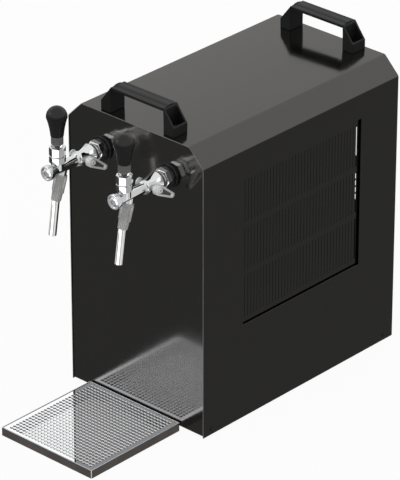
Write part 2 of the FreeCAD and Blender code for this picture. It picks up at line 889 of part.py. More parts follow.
def make_handle_screws():
    """Screws down through the handle legs and the cover, each with its nut."""
    pieces = []
    nut_height = S["handle_nut_height"]
    for x, depth in handle_screw_places():
        length = S["handle_pocket_floor"] + S["cover_wall"] + nut_height
        screw = make_screw("handle_screw", length, 2 * S["screw_head_height"])
        pieces.append(place(screw, x, depth, S["case_height"] + S["handle_pocket_floor"]))
        nut = prism("handle_nut", nut_height, [regular(S["handle_nut_flats"])],
                    [(0, 0, S["screw_radius"] + S["thread_clearance"])])
        pieces.append(place(nut, x, depth, S["case_height"] - S["cover_wall"] - nut_height))
    keep(grouped("handle_screw_group", pieces), "handle_screws")


def make_case_screws():
    """Screws through the cover into the base, and through the rear panel into the cover's flange."""
    pieces = []
    length = S["screw_length"]
    for side, turn in ((-1, LEFTWARD), (1, RIGHTWARD)):
        for depth in (S["cover_screw_inset"], S["case_depth"] - S["cover_screw_inset"]):
            screw = make_screw("side_screw", length, S["screw_head_height"])
            pieces.append(place(screw, side * HALF_WIDTH, depth, S["cover_screw_height"], turn))
    for x, height in panel_screw_places():
        screw = make_screw("panel_screw", length, S["screw_head_height"])
        pieces.append(place(screw, x, S["case_depth"] - S["panel_recess"], height, BACKWARD))
    keep(grouped("case_screw_group", pieces), "case_screws")


# ---------------------------------------------------------------- taps

def tap_place(thing, x, forward, rise, turn=FORWARD):
    """Puts a tap piece at forward in front of the case's front edge and at rise over the tap's axis."""
    return place(thing, x, -forward, TAP_HEIGHT + rise, turn)


TOWER_TURN = FreeCAD.Rotation(Vector(0, 0, 1), 7.5)   # the tower's eight flats stand a little turned
COLLAR_END = S["collar_thickness"] - S["panel_recess"]
SHANK_END = COLLAR_END + S["shank_engagement"]


def make_collar(name, x):
    bore = S["shank_radius"] + S["thread_clearance"]
    wide = S["collar_radius"]
    narrow = S["collar_step_radius"]
    half = S["collar_thickness"] / 2
    edge = S["collar_edge"]
    profile = [(bore, 0), (wide, 0), (wide, half - edge, edge), (wide - edge, half), (narrow, half),
               (narrow, 2 * half - edge, edge), (narrow - edge, 2 * half), (bore, 2 * half)]
    keep(tap_place(turned(name + "_ring", profile), x, -S["panel_recess"], 0), name)


def make_shank(name, x):
    """Threaded tube that carries the tap through the front panel."""
    length = S["shank_tail"] + SHANK_END
    radius = S["shank_radius"]
    chamfer = S["shank_chamfer"]
    profile = [(S["shank_bore"], 0), (radius - chamfer, 0), (radius, chamfer), (radius, length), (S["shank_bore"], length)]
    keep(tap_place(turned(name + "_tube", profile), x, -S["shank_tail"], 0), name)


def crown_profile(flats, length, sides):
    """Outer side of a nut's turned crown, from its lower face to its upper one."""
    outside = corner_radius(flats, sides) + S["nut_crown_edge"]
    fall = (outside - flats / 2) * S["nut_crown_slope"]
    return [(flats / 2, 0), (outside, fall), (outside, length - fall), (flats / 2, length)]


def in_common(name, solids):
    common = doc.addObject("Part::MultiCommon", name)
    common.Shapes = solids
    return common


def make_nut(name, flats, length, bore, sides=6):
    """Nut with turned corners."""
    crown = turned(name + "_crown", [(0, 0)] + crown_profile(flats, length, sides) + [(0, length)])
    stock = prism(name + "_stock", length, [regular(flats, sides)], [(0, 0, bore)])
    return in_common(name + "_common", [stock, crown])


def make_coupling_nut(name, x):
    nut = make_nut(name, S["nut_flats"], S["nut_length"], S["shank_radius"] + S["thread_clearance"])
    keep(tap_place(nut, x, COLLAR_END, 0), name)


def make_tap_body(name, x):
    """Chromed casting: compensator bulb, barrel, lever tower and spout socket, with its bores."""
    start = S["bulb_start"]
    nose = start + S["bulb_length"]
    profile = [
        (0, SHANK_END),
        (S["shank_radius"], SHANK_END),
        (S["shank_radius"], COLLAR_END + S["nut_length"]),
        (S["throat_radius"], COLLAR_END + S["nut_length"]),
        (S["throat_radius"], start),
        (S["bulb_radius"] - S["bulb_round"], start, S["bulb_shoulder_round"]),
        (S["bulb_radius"], start + S["bulb_crest"], S["bulb_crest_round"]),
        (S["bulb_nose_radius"], nose, -S["bulb_nose_round"]),
        (S["barrel_radius"], S["barrel_start"]),
        (S["barrel_radius"], S["barrel_end"]),
        (0, S["barrel_end"]),
    ]
    barrel_solid = tap_place(turned(name + "_barrel", profile), x, 0, 0)
    tower_profile = [(0, 0), (S["tower_radius"], 0), (S["tower_radius"], S["tower_height"]),
                     (S["tower_neck_radius"], S["tower_height"]),
                     (S["tower_neck_radius"], S["tower_height"] + S["tower_neck_height"]),
                     (0, S["tower_height"] + S["tower_neck_height"])]
    tower = tap_place(turned(name + "_tower", tower_profile), x, S["tower_position"], 0, UPRIGHT)
    band = make_nut(name + "_band", S["tower_flats"], S["tower_band_height"], S["tower_neck_radius"], 8)
    tap_place(band, x, S["tower_position"], S["tower_band_lift"], TOWER_TURN)
    socket = cylinder(name + "_socket", S["socket_radius"], S["socket_length"])
    spout_place(socket, x, 0)
    seat = S["pivot_height"] - S["ball_radius"] - S["ball_clearance"]
    tower_bore = cylinder(name + "_tower_bore", S["ball_radius"] + S["ball_clearance"], S["tower_height"])
    tap_place(tower_bore, x, S["tower_position"], seat, UPRIGHT)
    seat_radius = S["lever_pin_radius"] + S["running_fit"]
    pin_seat = cylinder(name + "_pin_seat", seat_radius, S["tower_flats"])
    tap_place(pin_seat, x - S["tower_flats"] / 2, S["tower_position"], S["pivot_height"], RIGHTWARD)
    pin_slot = block(name + "_pin_slot", S["tower_flats"], 2 * seat_radius, S["tower_neck_height"])
    tap_place(pin_slot, x - S["tower_flats"] / 2, S["tower_position"] + seat_radius, S["pivot_height"], UPRIGHT)
    cross_bore = cylinder(name + "_cross_bore", S["flow_shaft_radius"] + S["running_fit"], 3 * S["bulb_radius"])
    tap_place(cross_bore, x - 1.5 * S["bulb_radius"], S["flow_position"], 0, RIGHTWARD)
    casting = fused(name + "_casting", [barrel_solid, tower, band, socket])
    keep(cut_away(name + "_bored", casting, [tower_bore, pin_seat, pin_slot, cross_bore]), name)


def spout_place(thing, x, along):
    """Puts a piece on the spout's upper axis, along from the barrel's axis, pointing down and to the front."""
    tilt = number(S["spout_tilt"])
    turn = FreeCAD.Rotation(Vector(1, 0, 0), 180 - tilt)
    lean = math.radians(tilt)
    return tap_place(thing, x, S["spout_position"] + along * math.sin(lean), -(along * math.cos(lean)), turn)


def make_end_cap(name, x):
    """Screwed plug in the barrel's end: a rim round a domed button with a screwdriver slot."""
    radius = S["cap_radius"]
    length = S["cap_length"]
    edge = S["cap_edge"]
    button = S["cap_button_radius"]
    dome = S["cap_button_dome"]
    floor = length - S["cap_well"]
    shoulder = floor + S["cap_button_side"]
    profile = [(0, 0), (radius - edge, 0, edge), (radius, edge), (radius, length - edge, edge), (radius - edge, length),
               (radius - 2 * edge, length), (radius - 2 * edge, floor), (button, floor),
               (button, shoulder, drop_radius(2 * button, dome)), (0, shoulder + dome)]
    plug = tap_place(turned(name + "_plug", profile), x, S["barrel_end"], 0)
    slot = block(name + "_slot", S["cap_slot"], 2 * button, dome)
    tap_place(slot, x - S["cap_slot"] / 2, S["barrel_end"] + shoulder, -button)
    keep(cut_away(name + "_slotted", plug, [slot]), name)


def make_tower_nut(name, x):
    """Eight-sided nut over the lever's ball: its lip holds the ball and its mouth lets the rod tilt."""
    height = S["tower_nut_height"]
    lip = S["pivot_height"] - S["tower_height"] + S["lip_rise"]
    bore = S["tower_neck_radius"] + S["thread_clearance"]
    ring = turned(name + "_ring", [(bore, 0)] + crown_profile(S["tower_flats"], height, 8) + [
        (S["mouth_radius"], height), (S["lip_radius"], lip), (bore, lip - S["lip_fall"])])
    stock = prism(name + "_stock", height, [regular(S["tower_flats"], 8)])
    nut = in_common(name + "_common", [stock, ring])
    keep(tap_place(nut, x, S["tower_position"], S["tower_height"], TOWER_TURN), name)


def make_lever(name, x):
    """Tap lever: a ball on a cross pin in the tower, a rod and the ferrule that carries the knob."""
    ball = S["ball_radius"]
    rod = S["rod_radius"]
    foot = S["ferrule_bottom"] - S["pivot_height"]
    top = foot + S["ferrule_height"]
    profile = [(0, -ball, ball), (rod, root(ball * ball - rod * rod)), (rod, foot), (S["ferrule_foot_radius"], foot),
               (S["ferrule_radius"], foot + S["ferrule_edge"]), (S["ferrule_radius"], top), (0, top)]
    spindle = tap_place(turned(name + "_spindle", profile), x, S["tower_position"], S["pivot_height"], UPRIGHT)
    reach = S["lever_pin_reach"]
    pin = cylinder(name + "_pin", S["lever_pin_radius"], 2 * reach)
    tap_place(pin, x - reach, S["tower_position"], S["pivot_height"], RIGHTWARD)
    keep(fused(name + "_pinned", [spindle, pin]), name)


def make_knob(name, x):
    radius = S["knob_radius"]
    height = S["knob_height"]
    edge = S["knob_edge"]
    profile = [(0, 0), (S["knob_foot_radius"] - edge, 0, edge), (S["knob_foot_radius"], edge),
               (radius, height - radius, radius), (0, height)]
    rise = S["ferrule_bottom"] + S["ferrule_height"]
    keep(tap_place(turned(name + "_grip", profile), x, S["tower_position"], rise, UPRIGHT), name)


def make_spout(name, x):
    """Spout tube with a slight bend just below its sleeve, so that it pours almost straight down."""
    upper = math.radians(number(S["spout_tilt"]))
    lower = math.radians(number(S["spout_lower_tilt"]))
    bend_start = S["socket_length"] + S["spout_upper"]
    sweep = S["spout_bend"]
    forward = S["spout_position"] + bend_start * math.sin(upper) - sweep * math.cos(upper)
    rise = -(bend_start * math.cos(upper)) - sweep * math.sin(upper)
    outward = Vector(0, -math.cos(upper), math.sin(upper))
    downward = Vector(0, -math.sin(upper), -math.cos(upper))
    lower_turn = FreeCAD.Rotation(Vector(1, 0, 0), 180 - number(S["spout_lower_tilt"]))
    stretches = []
    for part, radius in (("skin", S["spout_radius"]), ("bore", S["spout_bore"])):
        first = spout_place(cylinder(f"{name}_{part}_upper", radius, S["spout_upper"]), x, S["socket_length"])
        knee = torus(f"{name}_{part}_knee", radius, sweep, math.degrees(upper - lower))
        tap_place(knee, x, forward, rise, FreeCAD.Rotation(outward, downward, outward.cross(downward), "XYZ"))
        last = cylinder(f"{name}_{part}_lower", radius, S["spout_lower"])
        tap_place(last, x, forward + sweep * math.cos(lower), rise + sweep * math.sin(lower), lower_turn)
        stretches.append(fused(f"{name}_{part}", [first, knee, last]))
    skin, bore = stretches
    keep(cut_away(name + "_tube", skin, [bore]), name)


def make_spout_sleeve(name, x):
    """Tapered sleeve nut with four wings that clamps the spout tube to the socket."""
    length = S["sleeve_length"]
    step = S["socket_length"] - S["sleeve_top"]
    tube = S["spout_radius"] + S["thread_clearance"]
    mouth = S["socket_radius"] + S["thread_clearance"]
    body = turned(name + "_ring", [(mouth, 0), (S["sleeve_radius"], 0), (S["sleeve_foot_radius"], length),
                                   (tube, length), (tube, step), (mouth, step)])
    reach = S["sleeve_rib_reach"]
    inner = mouth + S["thread_clearance"]
    rib = rectangle(inner, -S["sleeve_rib"] / 2, reach - inner, S["sleeve_rib"])
    feature = add_pad(body, S["sleeve_wing"], [rib], lift=S["sleeve_wing_lift"])
    ring_pattern(body, feature, S["sleeve_ribs"])
    keep(spout_place(body, x, S["sleeve_top"]), name)


def make_flow_lever(name, x):
    """Compensator lever: a rounded arm with a ball tip on a cross shaft, and a boss on the shaft's far end."""
    reach = S["flow_hub_reach"]
    hub_radius = S["flow_hub_radius"]
    edge = S["flow_hub_edge"]
    shaft = S["flow_shaft_radius"]
    end = 2 * reach + S["flow_hub_length"]
    hub = turned(name + "_hub", [(0, 0), (shaft, 0), (shaft, 2 * reach), (hub_radius, 2 * reach),
                                 (hub_radius, end - edge, edge), (hub_radius - edge, end), (0, end)])
    tap_place(hub, x - reach, S["flow_position"], 0, RIGHTWARD)
    wide = S["flow_arm_radius"]
    narrow = S["flow_neck_radius"]
    length = S["flow_arm_length"]
    lean = (wide - narrow) / length
    square = root(1 - lean * lean)
    outline = [(wide * lean, -(wide * square)), (length + narrow * lean, -(narrow * square), narrow),
               (length + narrow * lean, narrow * square), (wide * lean, wide * square, wide), (-wide, 0, wide)]
    body = new_body(name + "_arm")
    inset = (S["flow_hub_length"] - S["flow_arm_wall"]) / 2
    pad = add_pad(body, S["flow_arm_wall"], [outline], lift=reach + inset)
    round_rims(body, pad, S["flow_arm_round"])
    dip = math.radians(number(S["flow_arm_dip"]))
    tap_place(body, x, S["flow_position"], 0, SIDEWAYS * FreeCAD.Rotation(Vector(0, 0, 1), -math.degrees(dip)))
    tip = ball(name + "_tip", S["flow_tip_radius"])
    tap_place(tip, x + reach + S["flow_hub_length"] / 2, S["flow_position"] - length * math.cos(dip),
              -(length * math.sin(dip)), UPRIGHT)
    boss_radius = S["flow_boss_radius"]
    height = S["flow_boss_height"]
    edge = S["flow_boss_edge"]
    boss = turned(name + "_boss", [(0, 0), (boss_radius, 0), (boss_radius, height - edge),
                                   (boss_radius - edge, height), (0, height)])
    tap_place(boss, x - reach, S["flow_position"], 0, LEFTWARD)
    lever = fused(name + "_lever", [fused(name + "_hub_arm", [hub, body], refine=False), tip], refine=False)
    keep(grouped(name + "_pair", [lever, boss]), name)


def make_taps():
    locknuts = []
    for side, x in tap_places():
        make_collar(f"tap_collar_{side}", x)
        make_shank(f"tap_shank_{side}", x)
        make_coupling_nut(f"coupling_nut_{side}", x)
        make_tap_body(f"tap_body_{side}", x)
        make_end_cap(f"end_cap_{side}", x)
        make_tower_nut(f"tower_nut_{side}", x)
        make_lever(f"tap_lever_{side}", x)
        make_knob(f"tap_knob_{side}", x)
        make_spout(f"spout_{side}", x)
        make_spout_sleeve(f"spout_sleeve_{side}", x)
        make_flow_lever(f"flow_lever_{side}", x)
        nut = make_nut(f"shank_nut_{side}", S["locknut_flats"], S["locknut_length"],
                       S["shank_radius"] + S["thread_clearance"])
        locknuts.append(tap_place(nut, x, -(PANEL_INNER + S["locknut_length"]), 0))
    keep(grouped("shank_nut_pair", locknuts), "shank_nuts")


# ---------------------------------------------------------------- drip tray

def make_tray():
    """Loose tray on the counter in front of the case, and the perforated grate that stands in it."""
    left = S["tray_shift"] - S["tray_width"] / 2
    outside = block("tray_outside", S["tray_width"], S["tray_depth"], S["tray_height"])
    place(outside, left, -(S["tray_gap"] + S["tray_depth"]), -S["foot_drop"])
    wall = S["tray_wall"]
    inside = block("tray_inside", S["tray_width"] - 2 * wall, S["tray_depth"] - 2 * wall, S["tray_height"])
    place(inside, left + wall, wall - (S["tray_gap"] + S["tray_depth"]), wall - S["foot_drop"])
    keep(cut_away("tray_pan", outside, [inside]), "drip_tray")

    inset = wall + S["grate_clearance"]
    width = S["tray_width"] - 2 * inset
    depth = S["tray_depth"] - 2 * inset
    legs = S["tray_height"] - S["grate_drop"] - S["grate_wall"] - wall
    pitch = S["grate_pitch"]
    hole = S["grate_hole"]
    web = (pitch - hole) / 2
    start_x = (width - pitch * S["grate_columns"]) / 2 + web
    start_y = (depth - pitch * S["grate_rows"]) / 2
    strip = block("grate_strip", width, pitch, S["grate_wall"])
    holes = [shifted("grate_hole", block("grate_hole_cut", hole, hole, S["grate_wall"]), start_x + pitch * column, web)
             for column in range(int(number(S["grate_columns"])))]
    punched = cut_away("grate_strip_punched", strip, [grouped("grate_holes", holes)])
    strips = [shifted(f"grate_strip_{index}", punched, 0, start_y + pitch * index)
              for index in range(int(number(S["grate_rows"])))]
    strips.append(block("grate_margin_front", width, start_y, S["grate_wall"]))
    strips.append(shifted("grate_margin_rear", block("grate_margin_stock", width, start_y, S["grate_wall"]), 0,
                          depth - start_y))
    sheet = fused("grate_sheet", strips, refine=False)
    corner = (left + inset, inset - (S["tray_gap"] + S["tray_depth"]), wall - S["foot_drop"])
    keep(place(sheet, corner[0], corner[1], corner[2] + legs), "drip_grate")
    margin = S["grate_margin"] / 2
    feet = [place(cylinder("grate_foot", S["grate_foot_radius"], legs), corner[0] + x, corner[1] + y, corner[2])
            for x in (margin, width - margin) for y in (margin, depth - margin)]
    keep(grouped("grate_feet_group", feet), "grate_feet")


# ---------------------------------------------------------------- cooling inside the case

def bend(name, radius, bend_radius, centre, start, end):
    """Quarter bend of a tube about centre, from the direction start to the direction end."""
    turn = FreeCAD.Rotation(Vector(*start), Vector(*end), Vector(*start).cross(Vector(*end)), "XYZ")
    return place(torus(name, radius, bend_radius, 90), *centre, turn)


def run(name, radius, start, turn, length):
    """Straight stretch of a tube."""
    return place(cylinder(name, radius, length), *start, turn)


def make_cooling_block():
    """Cast block that holds the beer coils, in an open foam jacket that stands on the base."""
    width = S["case_width"] - 2 * S["jacket_side_gap"]
    height = JACKET_TOP - FLOOR
    jacket = block("jacket_outside", width, S["jacket_depth"], height)
    place(jacket, -width / 2, S["jacket_front"], FLOOR)
    wall = S["jacket_wall"]
    size = (width - 2 * wall, S["jacket_depth"] - 2 * wall, height - wall)
    corner = (wall - width / 2, S["jacket_front"] + wall, FLOOR + wall)
    inside = place(block("jacket_inside", *size), *corner)
    keep(cut_away("jacket_shell", jacket, [inside]), "insulation_jacket")
    keep(place(block("cast_block", *size), *corner), "cooling_block")


def make_beer_lines():
    """Steel beer lines: rear inlet to block, and block to tap shank."""
    radius = S["line_radius"]
    curve = S["line_bend"]
    top = JACKET_TOP
    for side, sign in both_sides():
        name = f"beer_line_{side}"
        x = sign * S["inlet_spacing"] / 2
        height = INLET_HEIGHT
        start = S["inlet_line_drop"] + curve
        inlet_end = S["case_depth"] - PANEL_INNER - S["inlet_tail"]
        inlet = fused(name + "_inlet", [
            run(name + "_run", radius, (x, start, height), BACKWARD, inlet_end - start),
            bend(name + "_turn", radius, curve, (x, start, height - curve), (0, -1, 0), (0, 0, 1)),
            run(name + "_drop", radius, (x, S["inlet_line_drop"], top), UPRIGHT, height - curve - top)])
        x = sign * S["tap_spacing"] / 2
        height = TAP_HEIGHT
        corner = S["shank_tail"] + S["outlet_run"]
        outlet = fused(name + "_outlet", [
            run(name + "_tail", radius, (x, S["shank_tail"], height), BACKWARD, S["outlet_run"]),
            bend(name + "_bend", radius, curve, (x, corner, height - curve), (0, 0, 1), (0, 1, 0)),
            run(name + "_riser", radius, (x, corner + curve, top), UPRIGHT, height - curve - top)])
        keep(grouped(name + "_pair", [inlet, outlet]), name)


def make_inlet_fittings():
    """Push-in beer inlets on the rear panel, with the nuts that hold them."""
    fittings = []
    nuts = []
    radius = S["inlet_radius"]
    tail = PANEL_INNER + S["inlet_tail"]
    length = tail + S["inlet_reach"]
    flange = tail - S["panel_recess"]
    wide = S["inlet_flange_radius"]
    bore = S["inlet_bore"]
    barb = radius + S["inlet_barb"]
    edge = S["inlet_edge"]
    foot = length - edge - S["inlet_barb_length"]
    profile = [(0, 0), (radius, 0), (radius, flange), (wide, flange), (wide, flange + S["inlet_flange_wall"]),
               (radius, flange + S["inlet_flange_wall"]), (radius, foot), (barb, foot),
               (barb, length - edge), (barb - edge, length), (bore, length),
               (bore, length - S["inlet_bore_depth"]), (0, length - S["inlet_bore_depth"])]
    for side, sign in both_sides():
        x = sign * S["inlet_spacing"] / 2
        fitting = turned(f"inlet_fitting_{side}", profile)
        fittings.append(place(fitting, x, S["case_depth"] - tail, INLET_HEIGHT, BACKWARD))
        nut = make_nut(f"inlet_nut_{side}", S["inlet_nut_flats"], S["inlet_nut_length"],
                       radius + S["thread_clearance"])
        nuts.append(place(nut, x, S["case_depth"] - PANEL_INNER, INLET_HEIGHT, FORWARD))
    keep(grouped("inlet_fitting_pair", fittings), "inlet_fittings")
    keep(grouped("inlet_nut_pair", nuts), "inlet_nuts")


CAN_FOOT = FLOOR + S["grommet_height"]
CAN_BOTTOM = CAN_FOOT + S["plate_wall"]


def make_compressor():
    """Hermetic compressor: a two-part can with a welded seam, its foot plate, stubs and terminal block."""
    radius = S["can_radius"]
    height = S["can_height"]
    seam = S["can_seam"]
    crown = S["can_crown"]
    middle = S["can_split"]
    profile = [(0, 0), (radius - seam, 0), (radius, seam), (radius, middle), (radius + seam, middle),
               (radius + seam, middle + seam), (radius, middle + seam), (radius, height - crown, S["can_crown_round"]),
               (radius - crown, height), (0, height)]
    can = place(turned("compressor_can", profile), 0, S["can_position"], CAN_BOTTOM)
    long_side = S["plate_length"]
    wide_side = S["plate_width"]
    inset = S["grommet_radius"] + 2
    bolts = [(x, y, S["screw_radius"] + 1) for x in (inset - wide_side / 2, wide_side / 2 - inset)
             for y in (inset - long_side / 2, long_side / 2 - inset)]
    plate = prism("compressor_plate", S["plate_wall"],
                  [rectangle(-wide_side / 2, -long_side / 2, wide_side, long_side)], bolts)
    place(plate, 0, S["can_position"], CAN_FOOT)
    stub = S["pipe_radius"]
    stub_rise = S["stub_top"] - S["stub_foot"]
    stubs = [run(f"compressor_stub_{side}", stub, (sign * (radius + stub / 2), S["can_position"], S["stub_foot"]),
                 UPRIGHT, stub_rise) for side, sign in both_sides()]
    reach = radius + S["terminal_reach"]
    terminal = block("compressor_terminal", S["relay_width"] - 4, reach, S["relay_height"] - 4)
    place(terminal, 2 - S["relay_width"] / 2, S["can_position"] - reach, S["relay_bottom"] + 2)
    keep(fused("compressor_body", [can, plate, terminal] + stubs), "compressor")
    relay = block("relay_case", S["relay_width"], S["relay_depth"], S["relay_height"])
    place(relay, -S["relay_width"] / 2, S["can_position"] - reach - S["relay_depth"], S["relay_bottom"])
    keep(relay, "start_relay_box")
    grommets = []
    groove = S["grommet_radius"] - 2
    height = S["grommet_height"]
    for x, y, hole in bolts:
        profile = [(0, 0), (S["grommet_radius"], 0), (S["grommet_radius"], height * 0.3), (groove, height * 0.4),
                   (groove, height * 0.6), (S["grommet_radius"], height * 0.7), (S["grommet_radius"], height),
                   (0, height)]
        grommets.append(place(turned("grommet", profile), x, S["can_position"] + y, FLOOR))
    keep(grouped("grommet_group", grommets), "compressor_grommets")


CONDENSER_X = GRILLE_X - S["condenser_gap"] - S["condenser_depth"]
CONDENSER_BOTTOM = S["window_bottom"] + S["condenser_lift"]
CONDENSER_HEIGHT = WINDOW_HEIGHT - S["condenser_lift"] - S["condenser_drop"]


def make_condenser():
    """Finned condenser: a row of fins between two rails, on tubes that run through them all."""
    depth = S["condenser_depth"]
    length = S["condenser_length"]
    height = CONDENSER_HEIGHT
    body = new_body("condenser_core")
    rail = S["condenser_rail"]
    add_pad(body, length, [rectangle(0, 0, depth, rail), rectangle(0, height - rail, depth, rail)])
    fin = add_pad(body, S["fin_wall"], [rectangle(0, rail / 2, depth, height - rail)])
    pattern(body, fin, "N_Axis", length - S["fin_wall"], 1 + (length - S["fin_wall"]) / S["fin_pitch"])
    step = height / S["pipe_rows"]
    tubes = [(depth / 2, step * (row + 0.5), S["pipe_radius"]) for row in range(int(S["pipe_rows"].value))]
    add_pad(body, length, [], tubes)
    place(body, CONDENSER_X, S["condenser_front"] + length, CONDENSER_BOTTOM, FORWARD)
    keep(body, "condenser")


FAN_DEPTH = S["condenser_front"] + S["condenser_length"] / 2
FAN_HEIGHT = CONDENSER_BOTTOM + CONDENSER_HEIGHT / 2
SHROUD_X = CONDENSER_X - S["shroud_depth"]
FAN_OPENING = CONDENSER_HEIGHT / 2 - S["fan_opening_edge"]


def make_fan():
    """Duct on legs, fan motor on a strap across it, and the fan on its shaft."""
    length = S["condenser_length"]
    height = CONDENSER_HEIGHT
    wall = S["shroud_wall"]
    body = new_body("shroud_sheet")
    add_pad(body, wall, [rectangle(0, 0, length, height)], [(length / 2, height / 2, FAN_OPENING)])
    add_pad(body, S["shroud_depth"], [rectangle(0, 0, length, height),
                                      rectangle(wall, wall, length - 2 * wall, height - 2 * wall)])
    leg = CONDENSER_BOTTOM - FLOOR
    add_pad(body, wall, [rectangle(0, -leg, S["strap_width"], leg + wall)])
    add_pad(body, wall, [rectangle(length - S["strap_width"], -leg, S["strap_width"], leg + wall)])
    place(body, SHROUD_X, S["condenser_front"], CONDENSER_BOTTOM, SIDEWAYS)
    keep(body, "fan_shroud")

    arm = FAN_OPENING + 2 * S["strap_wall"]
    reach = S["strap_reach"]
    thick = S["strap_wall"]
    profile = [(0, arm), (-reach, arm), (-reach, -arm), (0, -arm), (0, thick - arm), (thick - reach, thick - arm),
               (thick - reach, arm - thick), (0, arm - thick)]
    strap = prism("motor_strap", S["strap_width"], [profile])
    keep(place(strap, SHROUD_X, FAN_DEPTH + S["strap_width"] / 2, FAN_HEIGHT, FORWARD), "fan_strap")

    motor_x = SHROUD_X - reach + thick
    radius = S["motor_radius"]
    shaft = S["fan_shaft_radius"]
    length = S["motor_length"]
    profile = [(0, 0), (radius, 0), (radius, length * 0.35), (radius - 3, length * 0.35), (radius - 3, length * 0.8),
               (radius / 2, length), (shaft + S["running_fit"], length), (shaft + S["running_fit"], length * 0.3),
               (0, length * 0.3)]
    keep(place(turned("motor_can", profile), motor_x, FAN_DEPTH, FAN_HEIGHT, RIGHTWARD), "fan_motor")
    shaft_x = motor_x + length * 0.3 + S["running_fit"]
    keep(place(cylinder("motor_shaft", shaft, S["fan_shaft_length"]), shaft_x, FAN_DEPTH, FAN_HEIGHT, RIGHTWARD),
         "fan_shaft")

    hub = S["fan_hub_radius"]
    thick = S["fan_blade_wall"]
    bore = shaft + S["running_fit"]
    edge = S["fan_hub_edge"]
    fan = turned("fan_hub", [(bore, 0), (hub, 0), (hub, S["fan_hub_length"] - edge),
                             (hub - edge, S["fan_hub_length"]), (bore, S["fan_hub_length"])])
    half = S["fan_blade_chord"] / 2
    foot = S["fan_blade_lift"]
    rise = foot + S["fan_blade_rise"]
    blade = [(-half, foot), (half, rise), (half, rise + thick), (-half, foot + thick)]
    inner = hub - S["fan_blade_root"]
    feature = add_pad(fan, FAN_OPENING - S["fan_tip_gap"] - inner, [blade], lift=inner, role="XZ_Plane")
    ring_pattern(fan, feature, S["fan_blades"])
    fan_x = shaft_x + S["fan_shaft_length"] - S["fan_hub_length"] - foot
    keep(place(fan, fan_x, FAN_DEPTH, FAN_HEIGHT, RIGHTWARD), "fan_rotor")


def make_refrigerant_pipes():
    """Copper pipes: suction and discharge at the compressor, and the capillary after the drier."""
    radius = S["pipe_radius"]
    curve = S["line_bend"]
    stub_x = S["can_radius"] + radius / 2
    top = S["stub_top"]
    depth = S["can_position"]
    jacket_rear = S["jacket_front"] + S["jacket_depth"]
    suction = fused("suction_pipe", [
        bend("suction_bend", radius, curve, (-stub_x, depth - curve, top), (0, 1, 0), (0, 0, 1)),
        run("suction_run", radius, (-stub_x, depth - curve, top + curve), FORWARD, depth - curve - jacket_rear)])
    end_x = stub_x + 2 * curve + S["discharge_run"]
    discharge = fused("discharge_pipe", [
        bend("discharge_bend", radius, curve, (stub_x + curve, depth, top), (-1, 0, 0), (0, 0, 1)),
        run("discharge_run", radius, (stub_x + curve, depth, top + curve), RIGHTWARD, S["discharge_run"]),
        bend("discharge_rise", radius, curve, (end_x - curve, depth, top + 2 * curve), (0, 0, -1), (1, 0, 0)),
        run("discharge_end", radius, (end_x, depth, top + 2 * curve), UPRIGHT,
            CONDENSER_BOTTOM - top - 2 * curve)])
    thin = S["capillary_radius"]
    drier_x = CONDENSER_X + S["drier_radius"]
    drier_depth = S["condenser_front"] + 2 * S["drier_radius"]
    drier_bottom = CONDENSER_BOTTOM - S["drier_length"]
    turn = curve / 2
    capillary = fused("capillary", [
        bend("capillary_bend", thin, turn, (drier_x, drier_depth - turn, drier_bottom), (0, 1, 0), (0, 0, -1)),
        run("capillary_run", thin, (drier_x, drier_depth - turn, drier_bottom - turn), FORWARD,
            drier_depth - turn - jacket_rear)])
    keep(grouped("pipe_group", [suction, discharge, capillary]), "refrigerant_pipes")
    radius = S["drier_radius"]
    length = S["drier_length"]
    neck = S["pipe_radius"]
    neck_end = S["drier_neck"]
    cone = S["drier_cone"]
    profile = [(0, 0), (neck, 0), (neck, neck_end), (radius, cone), (radius, length - cone),
               (neck, length - neck_end), (neck, length), (0, length)]
    keep(place(turned("drier_can", profile), drier_x, drier_depth, drier_bottom), "filter_drier")


# ---------------------------------------------------------------- controls on the rear panel

REAR_INSIDE = S["case_depth"] - PANEL_INNER
REAR_FACE = S["case_depth"] - S["panel_recess"]


def make_thermostat():
    """Thermostat behind the rear panel, and its dial with the shaft that turns in the neck."""
    width = S["thermostat_width"]
    x = THERMOSTAT_X
    height = S["control_height"]
    case = block("thermostat_case", width, S["thermostat_depth"], width)
    place(case, x - width / 2, REAR_INSIDE - S["thermostat_depth"], height - width / 2)
    neck = run("thermostat_neck_tube", S["thermostat_neck"], (x, REAR_INSIDE - 1, height), BACKWARD, S["panel_wall"] + 1)
    bore = run("thermostat_bore", S["thermostat_shaft"] + S["running_fit"],
               (x, REAR_INSIDE - S["thermostat_depth"] / 2, height), BACKWARD, S["thermostat_depth"])
    keep(cut_away("thermostat_bored", fused("thermostat_solid", [case, neck]), [bore]), "thermostat_body")
    shaft = S["thermostat_shaft"]
    tail = S["panel_wall"] + S["thermostat_depth"] / 2 - S["running_fit"]
    gap = S["dial_gap"]
    wide = S["dial_radius"]
    top = S["dial_top_radius"]
    tall = gap + S["dial_height"]
    skirt = S["dial_skirt"]
    profile = [(0, -tail), (shaft, -tail), (shaft, gap), (wide, gap), (wide, gap + skirt), (top + 1, gap + skirt + 1),
               (top, tall - 1), (top - 1, tall), (0, tall)]
    dial = turned("thermostat_dial", profile)
    add_pad(dial, 1.5, [rectangle(-1, top * 0.3, 2, top * 0.6)], lift=tall - 0.5)
    keep(place(dial, x, REAR_FACE, height, BACKWARD), "thermostat_knob")


